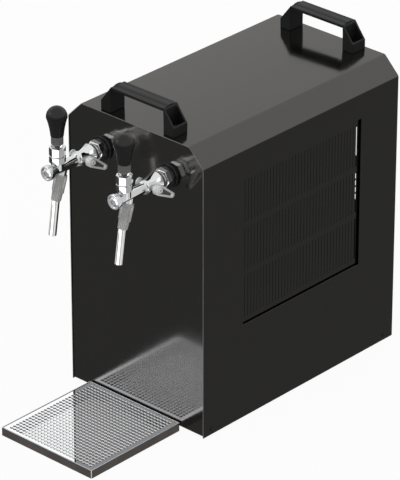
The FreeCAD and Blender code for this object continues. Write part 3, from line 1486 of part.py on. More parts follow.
def make_switch():
    """Rocker switch: a snap-in housing and the rocker on its pins."""
    width = S["switch_width"]
    height = S["switch_height"]
    depth = S["switch_depth"]
    bezel = S["switch_bezel"]
    x = S["switch_position"]
    z = S["control_height"]
    fit = S["thread_clearance"]
    body = new_body("switch_shell")
    add_pad(body, depth, [rectangle(fit - width / 2, fit - height / 2, width - 2 * fit, height - 2 * fit)])
    add_pad(body, bezel, [rectangle(-width / 2 - bezel, -height / 2 - bezel, width + 2 * bezel, height + 2 * bezel)],
            lift=depth)
    wall = S["switch_wall"]
    add_pocket(body, depth + bezel, depth + bezel - wall,
               [rectangle(wall - width / 2, wall - height / 2, width - 2 * wall, height - 2 * wall)])
    place(body, x, REAR_FACE - depth, z, BACKWARD)
    pivot_depth = REAR_FACE - S["rocker_pivot"]
    pin = S["rocker_pin"]
    bore = run("rocker_pin_bore", pin + S["running_fit"], (x - width, pivot_depth, z), RIGHTWARD, 2 * width)
    keep(cut_away("switch_bored", body, [bore]), "switch_housing")

    half = height / 2 - wall - S["rocker_clearance"] - S["rocker_swing"]
    face = S["rocker_pivot"] + bezel + S["rocker_proud"]
    dish = S["rocker_dish"]
    rocker = new_body("rocker_shape")
    length = width - 2 * wall - 2 * S["rocker_clearance"]
    outline = [(face - 2 * dish, -half), (face, -half), (face - dish, 0), (face, half), (face - 2 * dish, half),
               (-(2 * pin), 2 * pin), (-(2 * pin), -(2 * pin))]
    add_pad(rocker, length, [outline], lift=-length / 2)
    pins = width - 2 * S["screw_clearance"] - 2 * fit
    add_pad(rocker, pins, [], [(0, 0, pin)], lift=-pins / 2)
    tilt = FreeCAD.Rotation(Vector(0, 0, 1), number(S["rocker_tilt"]))
    keep(place(rocker, x, pivot_depth, z, SIDEWAYS * tilt), "switch_rocker")


def make_power_inlet():
    """Mains inlet for a loose lead: a flanged socket with three blades."""
    width = S["power_width"]
    height = S["power_height"]
    depth = S["power_depth"]
    wall = S["power_wall"]
    fit = S["thread_clearance"]
    x = POWER_X
    z = S["control_height"]
    body = new_body("inlet_shell")
    add_pad(body, depth, [rectangle(fit - width / 2, fit - height / 2, width - 2 * fit, height - 2 * fit)])
    flange = S["power_flange"]
    flange_height = height + 2 * wall
    add_pad(body, S["power_flange_wall"], [rectangle(-flange / 2, -flange_height / 2, flange, flange_height)],
            lift=depth)
    cavity = rectangle(wall - width / 2, wall - height / 2, width - 2 * wall, height - 2 * wall)
    top = depth + S["power_flange_wall"]
    add_pocket(body, top, S["power_cavity_depth"], [cavity])
    keep(place(body, x, REAR_FACE - depth, z, BACKWARD), "power_inlet")
    pin_wide = S["power_pin_width"]
    pin_wall = S["power_pin_wall"]
    pitch = S["power_pin_pitch"]
    pins = [rectangle(offset - pin_wall / 2, drop - pin_wide / 2, pin_wall, pin_wide)
            for offset, drop in ((-pitch, 2), (0, -2), (pitch, 2))]
    blades = prism("inlet_blades", S["power_cavity_depth"] - S["power_flange_wall"], pins)
    keep(place(blades, x, REAR_FACE + S["power_flange_wall"] - S["power_cavity_depth"], z, BACKWARD), "power_pins")


make_cover()
make_base()
make_front_panel()
make_rear_panel()
make_side_grilles()
make_feet()
make_handle("handle_front", S["handle_inset"])
make_handle("handle_rear", S["case_depth"] - S["handle_inset"])
make_handle_screws()
make_case_screws()
make_taps()
make_tray()
make_cooling_block()
make_beer_lines()
make_inlet_fittings()
make_compressor()
make_condenser()
make_fan()
make_refrigerant_pipes()
make_thermostat()
make_switch()
make_power_inlet()


def finish():
    doc.recompute()
    for thing in doc.Objects:
        if "Invalid" in thing.State or "Error" in thing.State:
            raise RuntimeError(f"{thing.Name} ({thing.Label}) did not build: {thing.State}")
    os.makedirs("parts", exist_ok=True)
    for name, thing in nodes.items():
        shape = thing.Shape
        if shape.isNull() or not shape.isValid():
            raise RuntimeError(f"{name} has no valid shape")
        shape.exportStep(f"parts/{name}.step")


finish()
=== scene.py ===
import bmesh
import bpy
import json
import math
from mathutils import Matrix, Vector


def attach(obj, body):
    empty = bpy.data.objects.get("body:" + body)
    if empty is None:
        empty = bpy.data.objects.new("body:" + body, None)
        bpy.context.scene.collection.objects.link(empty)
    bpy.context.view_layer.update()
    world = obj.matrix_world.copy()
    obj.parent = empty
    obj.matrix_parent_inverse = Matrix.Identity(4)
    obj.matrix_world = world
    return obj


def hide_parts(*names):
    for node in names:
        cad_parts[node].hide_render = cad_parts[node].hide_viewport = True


# Two-tap beer cooler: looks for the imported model. Pieces are drawn in millimetres from the bottom
# front edge of the case (x right, y to the rear, z up) and are brought into the frame when they are kept.

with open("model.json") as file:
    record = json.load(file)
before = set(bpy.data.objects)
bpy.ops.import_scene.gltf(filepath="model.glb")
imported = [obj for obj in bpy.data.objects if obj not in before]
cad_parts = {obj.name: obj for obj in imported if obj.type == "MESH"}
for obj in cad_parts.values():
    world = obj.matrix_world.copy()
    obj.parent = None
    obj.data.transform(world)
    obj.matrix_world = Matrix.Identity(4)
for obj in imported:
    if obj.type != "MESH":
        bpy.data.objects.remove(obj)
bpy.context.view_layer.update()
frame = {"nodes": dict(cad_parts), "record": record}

MM = 0.001
CASE_FRONT = -134.5
CASE_LIFT = 4.4
INTO_FRAME = Matrix.Scale(MM, 4) @ Matrix.Translation((0, CASE_FRONT, CASE_LIFT))
FORWARD = Matrix.Rotation(math.radians(90), 4, "X")    # local z to the front
# Local x to the rear, y up and z to the right.
SIDEWAYS = Matrix(((0, 0, 1, 0), (1, 0, 0, 0), (0, 1, 0, 0), (0, 0, 0, 1)))

CASE_HALF = 137.5
CASE_DEPTH = 440.0
CASE_HEIGHT = 480.0
SHOULDER = 28.0
COVER_WALL = 1.2
FOLD_RADIUS = 2.2
WINDOW_FRONT = 88.0
WINDOW_REAR = 354.0
WINDOW_BOTTOM = 160.0
WINDOW_TOP = 410.0

GRILLE_PLACE = 133.9        # from the middle of the case to the slotted sheet
GRILLE_WALL = 0.9
GRILLE_LIP = 1.9
GRILLE_FLANGE = 8.0
SLOT_WIDTH = 0.8
LAST_SLOT_WIDTH = 2.4
SLOT_PITCH = 7.0
SLOT_HEIGHT = 70.0
SLOT_LAND = 10.0
SLOT_COLUMNS = 37
SLOT_ROWS = 3

HANDLE_HALF = 74.0
HANDLE_TOP = 42.0
HANDLE_INSET = 20.0         # from an end of the case to the middle of the handle
LEG_LENGTH = 21.0
LEG_CHEEK = 15.5
GRIP_HALF = 15.0
GRIP_EDGE = 37.0
GRIP_RADIUS = 21.8
POCKET_WALL = 3.3
POCKET_FLOOR = 8.0

# Along a tap, forward is measured from the front of the case and rise from the tap's axis.
TAP_HEIGHT = 419.5
TAP_PLACES = {"left": -68.0, "right": 68.0}
SHANK_RADIUS = 10.15
COLLAR_FORWARD = -1.5
COUPLING_FORWARD = 6.5
COUPLING_FLATS = 29.0
COUPLING_LENGTH = 10.5
BULB_FORWARD = 17.0
FLOW_FORWARD = 44.0
FLOW_DIP = math.radians(-33)
CAP_FORWARD = 109.0
TOWER_FORWARD = 93.4
TOWER_FLATS = 23.4
TOWER_TURN = 7.5
BAND_RISE = 11.0
BAND_LENGTH = 10.6
TOWER_NUT_RISE = 23.0
TOWER_NUT_LENGTH = 13.3
LEVER_RISE = 28.0
BALL_RADIUS = 7.2
ROD_RADIUS = 3.8
ROD_START = 6.115           # where the rod leaves the ball
KNOB_RISE = 53.6
SPOUT_FORWARD = 83.0
SPOUT_LEAN = math.radians(17)
SPOUT_BEND = 40.0
SPOUT_RADIUS = 6.15
SPOUT_BORE = 4.7
MOUTH_LEAN = math.radians(8.7)
SLEEVE_ALONG = 12.2

TRAY_LEFT = -99.0
TRAY_RIGHT = 90.0
TRAY_FRONT = -193.0
TRAY_REAR = -1.0
TRAY_BOTTOM = -CASE_LIFT
TRAY_TOP = 9.6
TRAY_FLOOR = 1.6
TRAY_RIM = 2.3
GRATE_GAP = 2.4
GRATE_TOP = 9.0
GRATE_WALL = 1.5
GRATE_PITCH = 6.6
GRATE_HOLE = 4.2
GRATE_COLUMNS = 26
GRATE_ROWS = 27
FOOT_INSET = 3.5
NEAR = 1e-3

CAMERA_PLACE = (3.49635, -3.78319, 2.92474)
CAMERA_AZIMUTH = math.radians(42.689)
CAMERA_ELEVATION = math.radians(27.509)
FOCAL_LENGTH = 286.175


# ---------------------------------------------------------------- finishes

def new_finish(name):
    finish = bpy.data.materials.new(name)
    finish.use_nodes = True
    return finish, finish.node_tree


def feed(tree, socket, value):
    """Sets a socket to a number, or links another socket to it."""
    if isinstance(value, (int, float)):
        socket.default_value = value
    else:
        tree.links.new(value, socket)


def worked(tree, operation, first, second=0.0):
    """One arithmetic node."""
    step = tree.nodes.new("ShaderNodeMath")
    step.operation = operation
    feed(tree, step.inputs[0], first)
    feed(tree, step.inputs[1], second)
    return step.outputs["Value"]


def object_space(tree, stretch=(1, 1, 1)):
    """Object coordinates in metres, stretched for brushed or drawn finishes."""
    place = tree.nodes.new("ShaderNodeTexCoord")
    mapping = tree.nodes.new("ShaderNodeMapping")
    mapping.inputs["Scale"].default_value = stretch
    tree.links.new(place.outputs["Object"], mapping.inputs["Vector"])
    return mapping.outputs["Vector"]


def noise(tree, where, scale, detail=3.0):
    cloud = tree.nodes.new("ShaderNodeTexNoise")
    cloud.inputs["Scale"].default_value = scale
    cloud.inputs["Detail"].default_value = detail
    cloud.inputs["Roughness"].default_value = 0.55
    tree.links.new(where, cloud.inputs["Vector"])
    return cloud.outputs["Fac"]


def spread(tree, source, low, high, start, end):
    """Spreads what lies between start and end over low to high."""
    ranged = tree.nodes.new("ShaderNodeMapRange")
    for socket, value in zip(("From Min", "From Max", "To Min", "To Max"), (start, end, low, high)):
        ranged.inputs[socket].default_value = value
    tree.links.new(source, ranged.inputs["Value"])
    return ranged.outputs["Result"]


def tinted(tree, source, first, second):
    """A colour between two, from the middle of a 0 to 1 pattern."""
    ramp = tree.nodes.new("ShaderNodeValToRGB")
    for stop, position, colour in zip(ramp.color_ramp.elements, (0.3, 0.7), (first, second)):
        stop.position = position
        stop.color = (*colour, 1)
    tree.links.new(source, ramp.inputs["Fac"])
    return ramp.outputs["Color"]


def relief(tree, source, strength, depth):
    """Bump of the given depth in metres."""
    bump = tree.nodes.new("ShaderNodeBump")
    bump.inputs["Strength"].default_value = strength
    bump.inputs["Distance"].default_value = depth
    tree.links.new(source, bump.inputs["Height"])
    return bump.outputs["Normal"]


def make_finish(name, colours, roughness, grain, stretch=(1, 1, 1), wear=18.0, relief_depth=0.0,
                relief_strength=0.3, **sockets):
    """A finish with uneven colour and gloss, and a fine relief if it has a depth. Grain is the fine
    pattern's scale per metre and wear that of the broad one."""
    finish, tree = new_finish(name)
    shader = tree.nodes["Principled BSDF"]
    fine = noise(tree, object_space(tree, stretch), grain, 4.0)
    broad = noise(tree, object_space(tree), wear)
    gloss = spread(tree, worked(tree, "MULTIPLY", broad, fine), *roughness, start=0.12, end=0.4)
    tree.links.new(tinted(tree, broad, *colours), shader.inputs["Base Color"])
    tree.links.new(gloss, shader.inputs["Roughness"])
    if relief_depth:
        tree.links.new(relief(tree, fine, relief_strength, relief_depth), shader.inputs["Normal"])
    for socket, value in sockets.items():
        shader.inputs[socket.replace("_", " ")].default_value = value
    return finish


def grey(value, warm=0.0):
    return (value * (1 + warm), value, value * (1 - warm))


FINISHES = {
    "black_coated_steel": make_finish(
        "powder_coated_steel", (grey(0.002, 0.05), grey(0.003, 0.05)), (0.09, 0.15), 900,
        relief_depth=0.00004, relief_strength=0.12, IOR=2.2, Specular_Tint=(1.0, 0.975, 0.935, 1.0)),
    "zinc_plated_steel": make_finish(
        "zinc_plated_steel", (grey(0.46), grey(0.6, -0.02)), (0.28, 0.5), 260, wear=60,
        relief_depth=0.0001, relief_strength=0.1, Metallic=1.0),
    "black_rubber": make_finish(
        "black_rubber", (grey(0.012), grey(0.022)), (0.65, 0.85), 700, relief_depth=0.0002),
    "handle_plastic": make_finish(
        "handle_moulding", (grey(0.008, -0.05), grey(0.012, -0.05)), (0.34, 0.5), 1500,
        relief_depth=0.0001, relief_strength=0.25, IOR=1.45),
    "chromed_brass": make_finish(
        "chrome_plate", (grey(0.66, -0.01), grey(0.72, -0.01)), (0.0, 0.003), 300, wear=40, Metallic=1.0),
    "knob_plastic": make_finish(
        "polished_black", (grey(0.012), grey(0.017)), (0.1, 0.18), 500, IOR=1.5),
    "stainless_steel": make_finish(
        "bright_steel", (grey(0.68, 0.01), grey(0.76, 0.01)), (0.0, 0.003), 500, wear=30, Metallic=1.0),
    "insulation_foam": make_finish(
        "jacket_foam", ((0.66, 0.6, 0.46), (0.78, 0.72, 0.58)), (0.8, 0.95), 420,
        relief_depth=0.0008, relief_strength=0.5),
    "cast_aluminium": make_finish(
        "cast_aluminium", (grey(0.4), grey(0.52)), (0.4, 0.6), 320, wear=50, relief_depth=0.0003, Metallic=1.0),
    "compressor_enamel": make_finish(
        "can_enamel", (grey(0.006), grey(0.012)), (0.2, 0.35), 200,
        relief_depth=0.0002, relief_strength=0.2, IOR=1.45),
    "black_plastic": make_finish(
        "black_moulding", (grey(0.012), grey(0.02)), (0.4, 0.55), 1400,
        relief_depth=0.0001, relief_strength=0.25),
    "grey_metal": make_finish(
        "motor_steel", (grey(0.3), grey(0.4)), (0.3, 0.5), 400, relief_depth=0.0001, Metallic=1.0),
    "copper": make_finish(
        "drawn_copper", ((0.5, 0.2, 0.1), (0.68, 0.32, 0.18)), (0.2, 0.42), 120, wear=45, Metallic=1.0),
    "rocker_plastic": make_finish(
        "rocker_gloss", (grey(0.006), grey(0.01)), (0.15, 0.25), 600, IOR=1.46),
    "inlet_plastic": make_finish(
        "fitting_plastic", (grey(0.3), grey(0.36)), (0.35, 0.5), 900, relief_depth=0.0001, relief_strength=0.15),
    "brass": make_finish(
        "blade_brass", ((0.5, 0.36, 0.14), (0.62, 0.46, 0.2)), (0.2, 0.35), 300, wear=60, Metallic=1.0),
}

# Finishes of single pieces or faces. The satin and lever chrome and the rim steel are pale stand-ins for
# polished metal, the last two hardly metallic at all: as mirrors they would turn black against the panel. The
# near-white lever chrome and rim steel are painted highlights, and so is the cut edge's pale grey. The tray's
# darker side steel is painted shade, and so is the fluted chrome where it lines the flow lever's channel.
CUT_EDGE_HIGHLIGHT = make_finish(
    "bare_cut_edge_painted_highlight", (grey(0.2, 0.02), grey(0.3, 0.02)), (0.25, 0.4), 1500, (1, 1, 30))
TRAY_SIDE_SHADE = make_finish(
    "tray_side_steel_painted_shade", ((0.44, 0.4, 0.37), (0.54, 0.5, 0.46)), (0.3, 0.42), 600, (1, 1, 20), Metallic=1.0)
GRATE_STEEL = make_finish(
    "grate_steel", (grey(0.86, -0.02), grey(0.95, -0.02)), (0.0, 0.003), 900, wear=80, Metallic=1.0)
SATIN_CHROME = make_finish(
    "satin_chrome", (grey(0.66, 0.01), grey(0.76, 0.01)), (0.2, 0.32), 700, wear=40, Metallic=0.55)
LEVER_HIGHLIGHT = make_finish(
    "lever_chrome_painted_highlight", (grey(0.94), grey(0.98)), (0.1, 0.16), 700, wear=40, Metallic=0.2)
RIM_HIGHLIGHT = make_finish(
    "rim_steel_painted_highlight", (grey(0.92), grey(0.97)), (0.16, 0.24), 700, wear=40, Metallic=0.1)
FLUTED_CHROME_AND_CHANNEL_SHADE = make_finish(
    "fluted_chrome_and_channel_shade", (grey(0.42, 0.02), grey(0.5, 0.02)), (0.1, 0.2), 700, wear=40, Metallic=0.8)


# ---------------------------------------------------------------- shaping and keeping pieces

def object_of(bm, name):
    """Turns a mesh that is being drawn into an object of the scene."""
    mesh = bpy.data.meshes.new(name)
    bm.to_mesh(mesh)
    bm.free()
    piece = bpy.data.objects.new(name, mesh)
    bpy.context.scene.collection.objects.link(piece)
    return piece


def keep(bm, name, slot, body="case", bevel=0.0, finishes=(), sharp=32):
    """Makes an object of a mesh in millimetres, in place of the CAD node that has its name."""
    bm.transform(INTO_FRAME)
    piece = object_of(bm, name)
    for finish in finishes or (FINISHES[slot],):
        piece.data.materials.append(finish)
    piece.data.shade_smooth()
    if bevel:
        edge = piece.modifiers.new("softened edges", "BEVEL")
        edge.width = bevel * MM
        edge.segments = 2
        edge.limit_method = "ANGLE"
        edge.angle_limit = math.radians(sharp)
        edge.harden_normals = True
    else:
        piece.data.set_sharp_from_angle(angle=math.radians(sharp))
    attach(piece, body)
    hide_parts(name)


def tidy_shell(bm):
    bmesh.ops.remove_doubles(bm, verts=bm.verts, dist=1e-4)
    bmesh.ops.recalc_face_normals(bm, faces=bm.faces)
    return bm


def moved(bm, *turns):
    for turn in turns:
        bm.transform(turn)
    return bm


def merged(*shapes):
    """Joins meshes into the first one."""
    first = shapes[0]
    for other in shapes[1:]:
        mesh = bpy.data.meshes.new("joined")
        other.to_mesh(mesh)
        other.free()
        first.from_mesh(mesh)
        bpy.data.meshes.remove(mesh)
    return first


def of_kind(items, kind):
    return [item for item in items if isinstance(item, kind)]


def span(edge, axis):
    """How far an edge reaches along an axis."""
    return abs(edge.verts[0].co[axis] - edge.verts[1].co[axis])


def faces_facing(bm, direction, limit=0.99):
    direction = Vector(direction)
    return [face for face in bm.faces if face.normal.dot(direction) > limit]


def drawn_out(bm, rail):
    """Extrudes a rail of edges in place, and gives the new verts and the new rail."""
    grown = bmesh.ops.extrude_edge_only(bm, edges=rail)["geom"]
    verts = of_kind(grown, bmesh.types.BMVert)
    ends = set(verts)
    return verts, [edge for edge in of_kind(grown, bmesh.types.BMEdge) if ends.issuperset(edge.verts)]


def grown_from(bm, faces):
    """Extrudes faces in place, and gives the new verts."""
    return of_kind(bmesh.ops.extrude_face_region(bm, geom=faces)["geom"], bmesh.types.BMVert)


def soften(bm, edges, width, segments, material=-1):
    bmesh.ops.bevel(bm, geom=edges, affect="EDGES", offset=width, segments=segments, profile=0.5,
                    material=material)


def slab(left, right, front, rear, bottom, top):
    """A plain block between six planes."""
    bm = bmesh.new()
    bmesh.ops.create_cube(bm, size=1.0)
    bmesh.ops.scale(bm, verts=bm.verts, vec=(right - left, rear - front, top - bottom))
    bmesh.ops.translate(bm, verts=bm.verts, vec=((left + right) / 2, (front + rear) / 2, (bottom + top) / 2))
    return bm


def prism(outline, move):
    """A flat outline drawn out along a move."""
    bm = bmesh.new()
    face = bm.faces.new([bm.verts.new(point) for point in outline])
    bmesh.ops.translate(bm, verts=grown_from(bm, [face]), vec=move)
    return tidy_shell(bm)


def sweep(start, end, radius, count=8):
    """Points along an arc, without its start. The arc swells to the right of its way, which is outwards for a
    profile that runs up, and to the left if the radius is negative."""
    first, last = Vector(start), Vector(end)
    chord = last - first
    normal = Vector((-chord.y, chord.x)).normalized() * math.copysign(1, radius)
    depth = math.sqrt(max(radius * radius - chord.length_squared / 4, 0))
    centre = (first + last) / 2 + normal * depth
    spoke = first - centre
    turn = spoke.angle_signed(last - centre)
    points = []
    for step in range(1, count + 1):
        point = spoke.copy()
        point.rotate(Matrix.Rotation(-turn * step / count, 2))
        points.append(tuple(centre + point))
    return points


def round_end(middle, radius, start, turn, count):
    """Points along an arc about a middle on the x axis."""
    angles = [start + turn * step / count for step in range(count + 1)]
    return [(middle + radius * math.cos(angle), radius * math.sin(angle)) for angle in angles]


def spun(profile, steps, closed=False):
    """Turned piece from (radius, height) points. A closed profile makes a ring."""
    bm = bmesh.new()
    verts = [bm.verts.new((radius, 0, height)) for radius, height in profile]
    pairs = list(zip(verts, verts[1:]))
    if closed:
        pairs.append((verts[-1], verts[0]))
    edges = [bm.edges.new(pair) for pair in pairs]
    bmesh.ops.spin(bm, geom=verts + edges, cent=(0, 0, 0), axis=(0, 0, 1), angle=math.tau, steps=steps,
                   use_merge=True)
    return tidy_shell(bm)


def lofted(rings, steps=48, flutes=0, closed=True):
    """Skin drawn through round sections, each given as place, lean to the front, radius and flute depth.
    A closed skin runs back into its first section, the other kind has two flat ends."""
    bm = bmesh.new()
    bmesh.ops.create_circle(bm, segments=steps, radius=1.0)
    verts, rail = bm.verts[:], bm.edges[:]
    first = rail
    back = Matrix.Identity(4)
    for index, (place, lean, radius, depth) in enumerate(rings):
        if index:
            verts, rail = drawn_out(bm, rail)
        turn = Matrix.Translation(place) @ Matrix.Rotation(math.pi - lean, 4, "X")
        for vert in verts:
            flat = back @ vert.co
            angle = math.atan2(flat.y, flat.x)
            reach = radius - depth * (0.5 - 0.5 * math.cos(flutes * angle))
            vert.co = turn @ Vector((reach * math.cos(angle), reach * math.sin(angle), 0))
        back = turn.inverted()
    if closed:
        bmesh.ops.bridge_loops(bm, edges=rail + first)
    else:
        bmesh.ops.contextual_create(bm, geom=first)
        bmesh.ops.contextual_create(bm, geom=rail)
    bmesh.ops.recalc_face_normals(bm, faces=bm.faces)
    return bm


def fluted(marks, flutes, closed):
    """Upright fluted piece through (radius, height, flute depth) marks."""
    rings = [((0, 0, height), math.pi, radius, depth) for radius, height, depth in marks]
    return lofted(rings, 144, flutes, closed)


def cut_with(bm, tool, operation):
    """The mesh after a boolean with another one."""
    stock, cutter = object_of(bm, "stock"), object_of(tool, "stock")
    step = stock.modifiers.new("cut", "BOOLEAN")
    step.operation = operation
    step.solver = "EXACT"
    step.object = cutter
    bpy.context.view_layer.update()
    shaped = stock.evaluated_get(bpy.context.evaluated_depsgraph_get())
    result = bmesh.new()
    result.from_mesh(shaped.to_mesh())
    shaped.to_mesh_clear()
    for spent in (stock, cutter):
        mesh = spent.data
        bpy.data.objects.remove(spent)
        bpy.data.meshes.remove(mesh)
    return result


def slot_marks(start, end, pitch, slot, count):
    """Both ends of a sheet, and between them both sides of each slot of a centred row."""
    first = (start + end - pitch * (count - 1) - slot) / 2
    marks = [start]
    for place in range(count):
        marks += [first + pitch * place, first + pitch * place + slot]
    return marks + [end]


def marked_sheet(across, along):
    """Flat sheet divided at marks along x and y, and those of its faces that are to be holes."""
    bm = bmesh.new()
    columns, rows = len(across) - 1, len(along) - 1
    bmesh.ops.create_grid(bm, x_segments=columns, y_segments=rows, size=1.0)
    holes = []
    for face in bm.faces:
        middle = face.calc_center_median()
        if int((middle.x + 1) / 2 * columns) % 2 and int((middle.y + 1) / 2 * rows) % 2:
            holes.append(face)
    for vert in bm.verts:
        column = round((vert.co.x + 1) / 2 * columns)
        row = round((vert.co.y + 1) / 2 * rows)
        vert.co = (across[column], along[row], 0)
    return bm, holes


# ---------------------------------------------------------------- case

def fold_cover():
    """Cover: one sheet folded over the case, with its two side windows and a bare cut edge at the front, painted
    pale grey as the highlight along it.
    """
    right = [(CASE_HALF - SHOULDER, CASE_HEIGHT), (CASE_HALF, CASE_HEIGHT - SHOULDER), (CASE_HALF, WINDOW_TOP),
             (CASE_HALF, WINDOW_BOTTOM), (CASE_HALF, 0)]
    corners = [(-x, z) for x, z in reversed(right)] + right
    bm = bmesh.new()
    verts = [bm.verts.new((x, 0, z)) for x, z in corners]
    rail = [bm.edges.new(pair) for pair in zip(verts, verts[1:])]
    for length in (WINDOW_FRONT, WINDOW_REAR - WINDOW_FRONT, CASE_DEPTH - WINDOW_REAR):
        tail, rail = drawn_out(bm, rail)
        bmesh.ops.translate(bm, verts=tail, vec=(0, length, 0))
    window = [face for face in bm.faces if WINDOW_FRONT < face.calc_center_median().y < WINDOW_REAR
              and WINDOW_BOTTOM < face.calc_center_median().z < WINDOW_TOP]
    bmesh.ops.delete(bm, geom=window, context="FACES_ONLY")
    folds = [edge for edge in bm.edges if span(edge, 1) > 1 and edge.verts[0].co.z > CASE_HEIGHT - SHOULDER - 1]
    soften(bm, folds, FOLD_RADIUS, 5)
    bmesh.ops.recalc_face_normals(bm, faces=bm.faces)
    if sum(face.normal.z for face in bm.faces) < 0:
        bmesh.ops.reverse_faces(bm, faces=bm.faces)
    bmesh.ops.solidify(bm, geom=bm.faces[:], thickness=COVER_WALL)
    bm.normal_update()
    # The bare front cut edge gets a pale grey that is a painted highlight.
    bare = 1
    for face in faces_facing(bm, (0, -1, 0)):
        if face.calc_center_median().y < 1:
            face.material_index = bare
    keep(bm, "outer_cover", "black_coated_steel", bevel=0.2, finishes=(FINISHES["black_coated_steel"], CUT_EDGE_HIGHLIGHT))


def punch_grilles():
    """Side grilles: slotted sheets behind the windows. Their front and top edges fold out to a flange that
    lies behind the cover."""
    across = slot_marks(WINDOW_FRONT, WINDOW_REAR, SLOT_PITCH, SLOT_WIDTH, SLOT_COLUMNS)
    across[-2] += LAST_SLOT_WIDTH - SLOT_WIDTH
    up = slot_marks(WINDOW_BOTTOM, WINDOW_TOP, SLOT_HEIGHT + SLOT_LAND, SLOT_HEIGHT, SLOT_ROWS)
    for name, side in (("left", -1), ("right", 1)):
        bm, holes = marked_sheet(across, up)
        bm.transform(SIDEWAYS)
        rim = [edge for edge in bm.edges if edge.is_boundary
               and min(vert.co.y for vert in edge.verts) < WINDOW_REAR - NEAR
               and max(vert.co.z for vert in edge.verts) > WINDOW_BOTTOM + NEAR]
        bmesh.ops.delete(bm, geom=holes, context="FACES_ONLY")
        lip, rim = drawn_out(bm, rim)
        bmesh.ops.translate(bm, verts=lip, vec=(GRILLE_LIP, 0, 0))
        for vert in drawn_out(bm, rim)[0]:
            if vert.co.y < WINDOW_FRONT + NEAR:
                vert.co.y -= GRILLE_FLANGE
            if vert.co.z < WINDOW_BOTTOM + NEAR:
                vert.co.z -= GRILLE_FLANGE
            elif vert.co.z > WINDOW_TOP - NEAR:
                vert.co.z += GRILLE_FLANGE
        bmesh.ops.recalc_face_normals(bm, faces=bm.faces)
        bmesh.ops.solidify(bm, geom=bm.faces[:], thickness=GRILLE_WALL)
        bmesh.ops.scale(bm, verts=bm.verts, vec=(side, 1, 1))
        bmesh.ops.translate(bm, verts=bm.verts, vec=(side * GRILLE_PLACE, 0, 0))
        keep(tidy_shell(bm), f"side_grille_{name}", "black_coated_steel")


# ---------------------------------------------------------------- handles

def mould_leg(side):
    """One leg of a handle, with a slope outside and an open screw pocket in the slope."""
    bm = slab(HANDLE_HALF - LEG_LENGTH, HANDLE_HALF, -GRIP_HALF, GRIP_HALF, 0, HANDLE_TOP)
    cut = bmesh.ops.bisect_plane(bm, geom=bm.verts[:] + bm.edges[:] + bm.faces[:],
                                 plane_co=(HANDLE_HALF, 0, LEG_CHEEK),
                                 plane_no=(HANDLE_TOP - LEG_CHEEK, 0, LEG_LENGTH), clear_outer=True)
    slope = bmesh.ops.contextual_create(bm, geom=of_kind(cut["geom_cut"], bmesh.types.BMEdge))["faces"]
    bmesh.ops.recalc_face_normals(bm, faces=bm.faces)
    bmesh.ops.inset_region(bm, faces=slope, thickness=POCKET_WALL, use_even_offset=True)
    pocket = grown_from(bm, slope)
    bmesh.ops.delete(bm, geom=slope, context="FACES_ONLY")
    for vert in pocket:
        vert.co.z = POCKET_FLOOR
    bmesh.ops.scale(bm, verts=bm.verts, vec=(side, 1, 1))
    bmesh.ops.recalc_face_normals(bm, faces=bm.faces)
    return bm


def mould_bar():
    """Grip bar between the legs. Known fault: its arc rises over the bar's top, where a belly should hang below
    it, which takes the radius without the minus sign."""
    half = HANDLE_HALF - LEG_LENGTH
    outline = [(GRIP_HALF, HANDLE_TOP), (-GRIP_HALF, HANDLE_TOP), (-GRIP_HALF, GRIP_EDGE)]
    outline += sweep((-GRIP_HALF, GRIP_EDGE), (GRIP_HALF, GRIP_EDGE), -GRIP_RADIUS, 12)
    return prism([(-half, y, z) for y, z in outline], (2 * half, 0, 0))


def mould_handles():
    """The two carrying handles on top of the case."""
    for name, middle in (("handle_front", HANDLE_INSET), ("handle_rear", CASE_DEPTH - HANDLE_INSET)):
        bm = merged(mould_bar(), mould_leg(-1), mould_leg(1))
        bmesh.ops.translate(bm, verts=bm.verts, vec=(0, middle, CASE_HEIGHT))
        keep(bm, name, "handle_plastic", bevel=1.1, sharp=25)


# ---------------------------------------------------------------- taps

def at_tap(bm, forward, rise=0.0, turn=FORWARD):
    """Places a piece of a tap that stands in the middle of the case."""
    return moved(bm, turn, Matrix.Translation((0, -forward, TAP_HEIGHT + rise)))


def at_spout(bm, along):
    """On the spout's upper axis, which leans to the front, with local z down the spout."""
    return at_tap(bm, SPOUT_FORWARD + along * math.sin(SPOUT_LEAN), -along * math.cos(SPOUT_LEAN),
                  Matrix.Rotation(math.pi - SPOUT_LEAN, 4, "X"))


def at_tower(bm, rise):
    return at_tap(bm, TOWER_FORWARD, rise, Matrix.Identity(4))


def turned_nut(flats, length, bore, sides=6, turn=30.0):
    """Nut with turned corners. Bore gives the points of its inside, from the top down."""
    half = flats / 2
    corner = half / math.cos(math.pi / sides)
    place = Matrix.Translation((0, 0, length / 2)) @ Matrix.Rotation(math.radians(turn), 4, "Z")
    stock = bmesh.new()
    bmesh.ops.create_cone(stock, cap_ends=True, segments=sides, radius1=corner, radius2=corner, depth=length,
                          matrix=place)
    narrow, wide = half - 0.6, corner + 0.3
    chamfer = (corner - half) * 0.6 + 0.4
    outside = [(narrow, 0), (wide, chamfer), (wide, length - chamfer), (narrow, length)]
    return cut_with(stock, spun(outside + bore, 96, closed=True), "INTERSECT")


def stepped_collar():
    profile = [(SHANK_RADIUS, 0), (20, 0), (20, 2.8)] + sweep((20, 2.8), (18.8, 4), 1.2, 3)
    profile += [(17, 4), (17, 6.8)] + sweep((17, 6.8), (15.8, 8), 1.2, 3) + [(SHANK_RADIUS, 8)]
    return at_tap(spun(profile, 72, closed=True), COLLAR_FORWARD)


def coupling_nut():
    bore = [(SHANK_RADIUS, COUPLING_LENGTH), (SHANK_RADIUS, 0)]
    return at_tap(turned_nut(COUPLING_FLATS, COUPLING_LENGTH, bore), COUPLING_FORWARD)


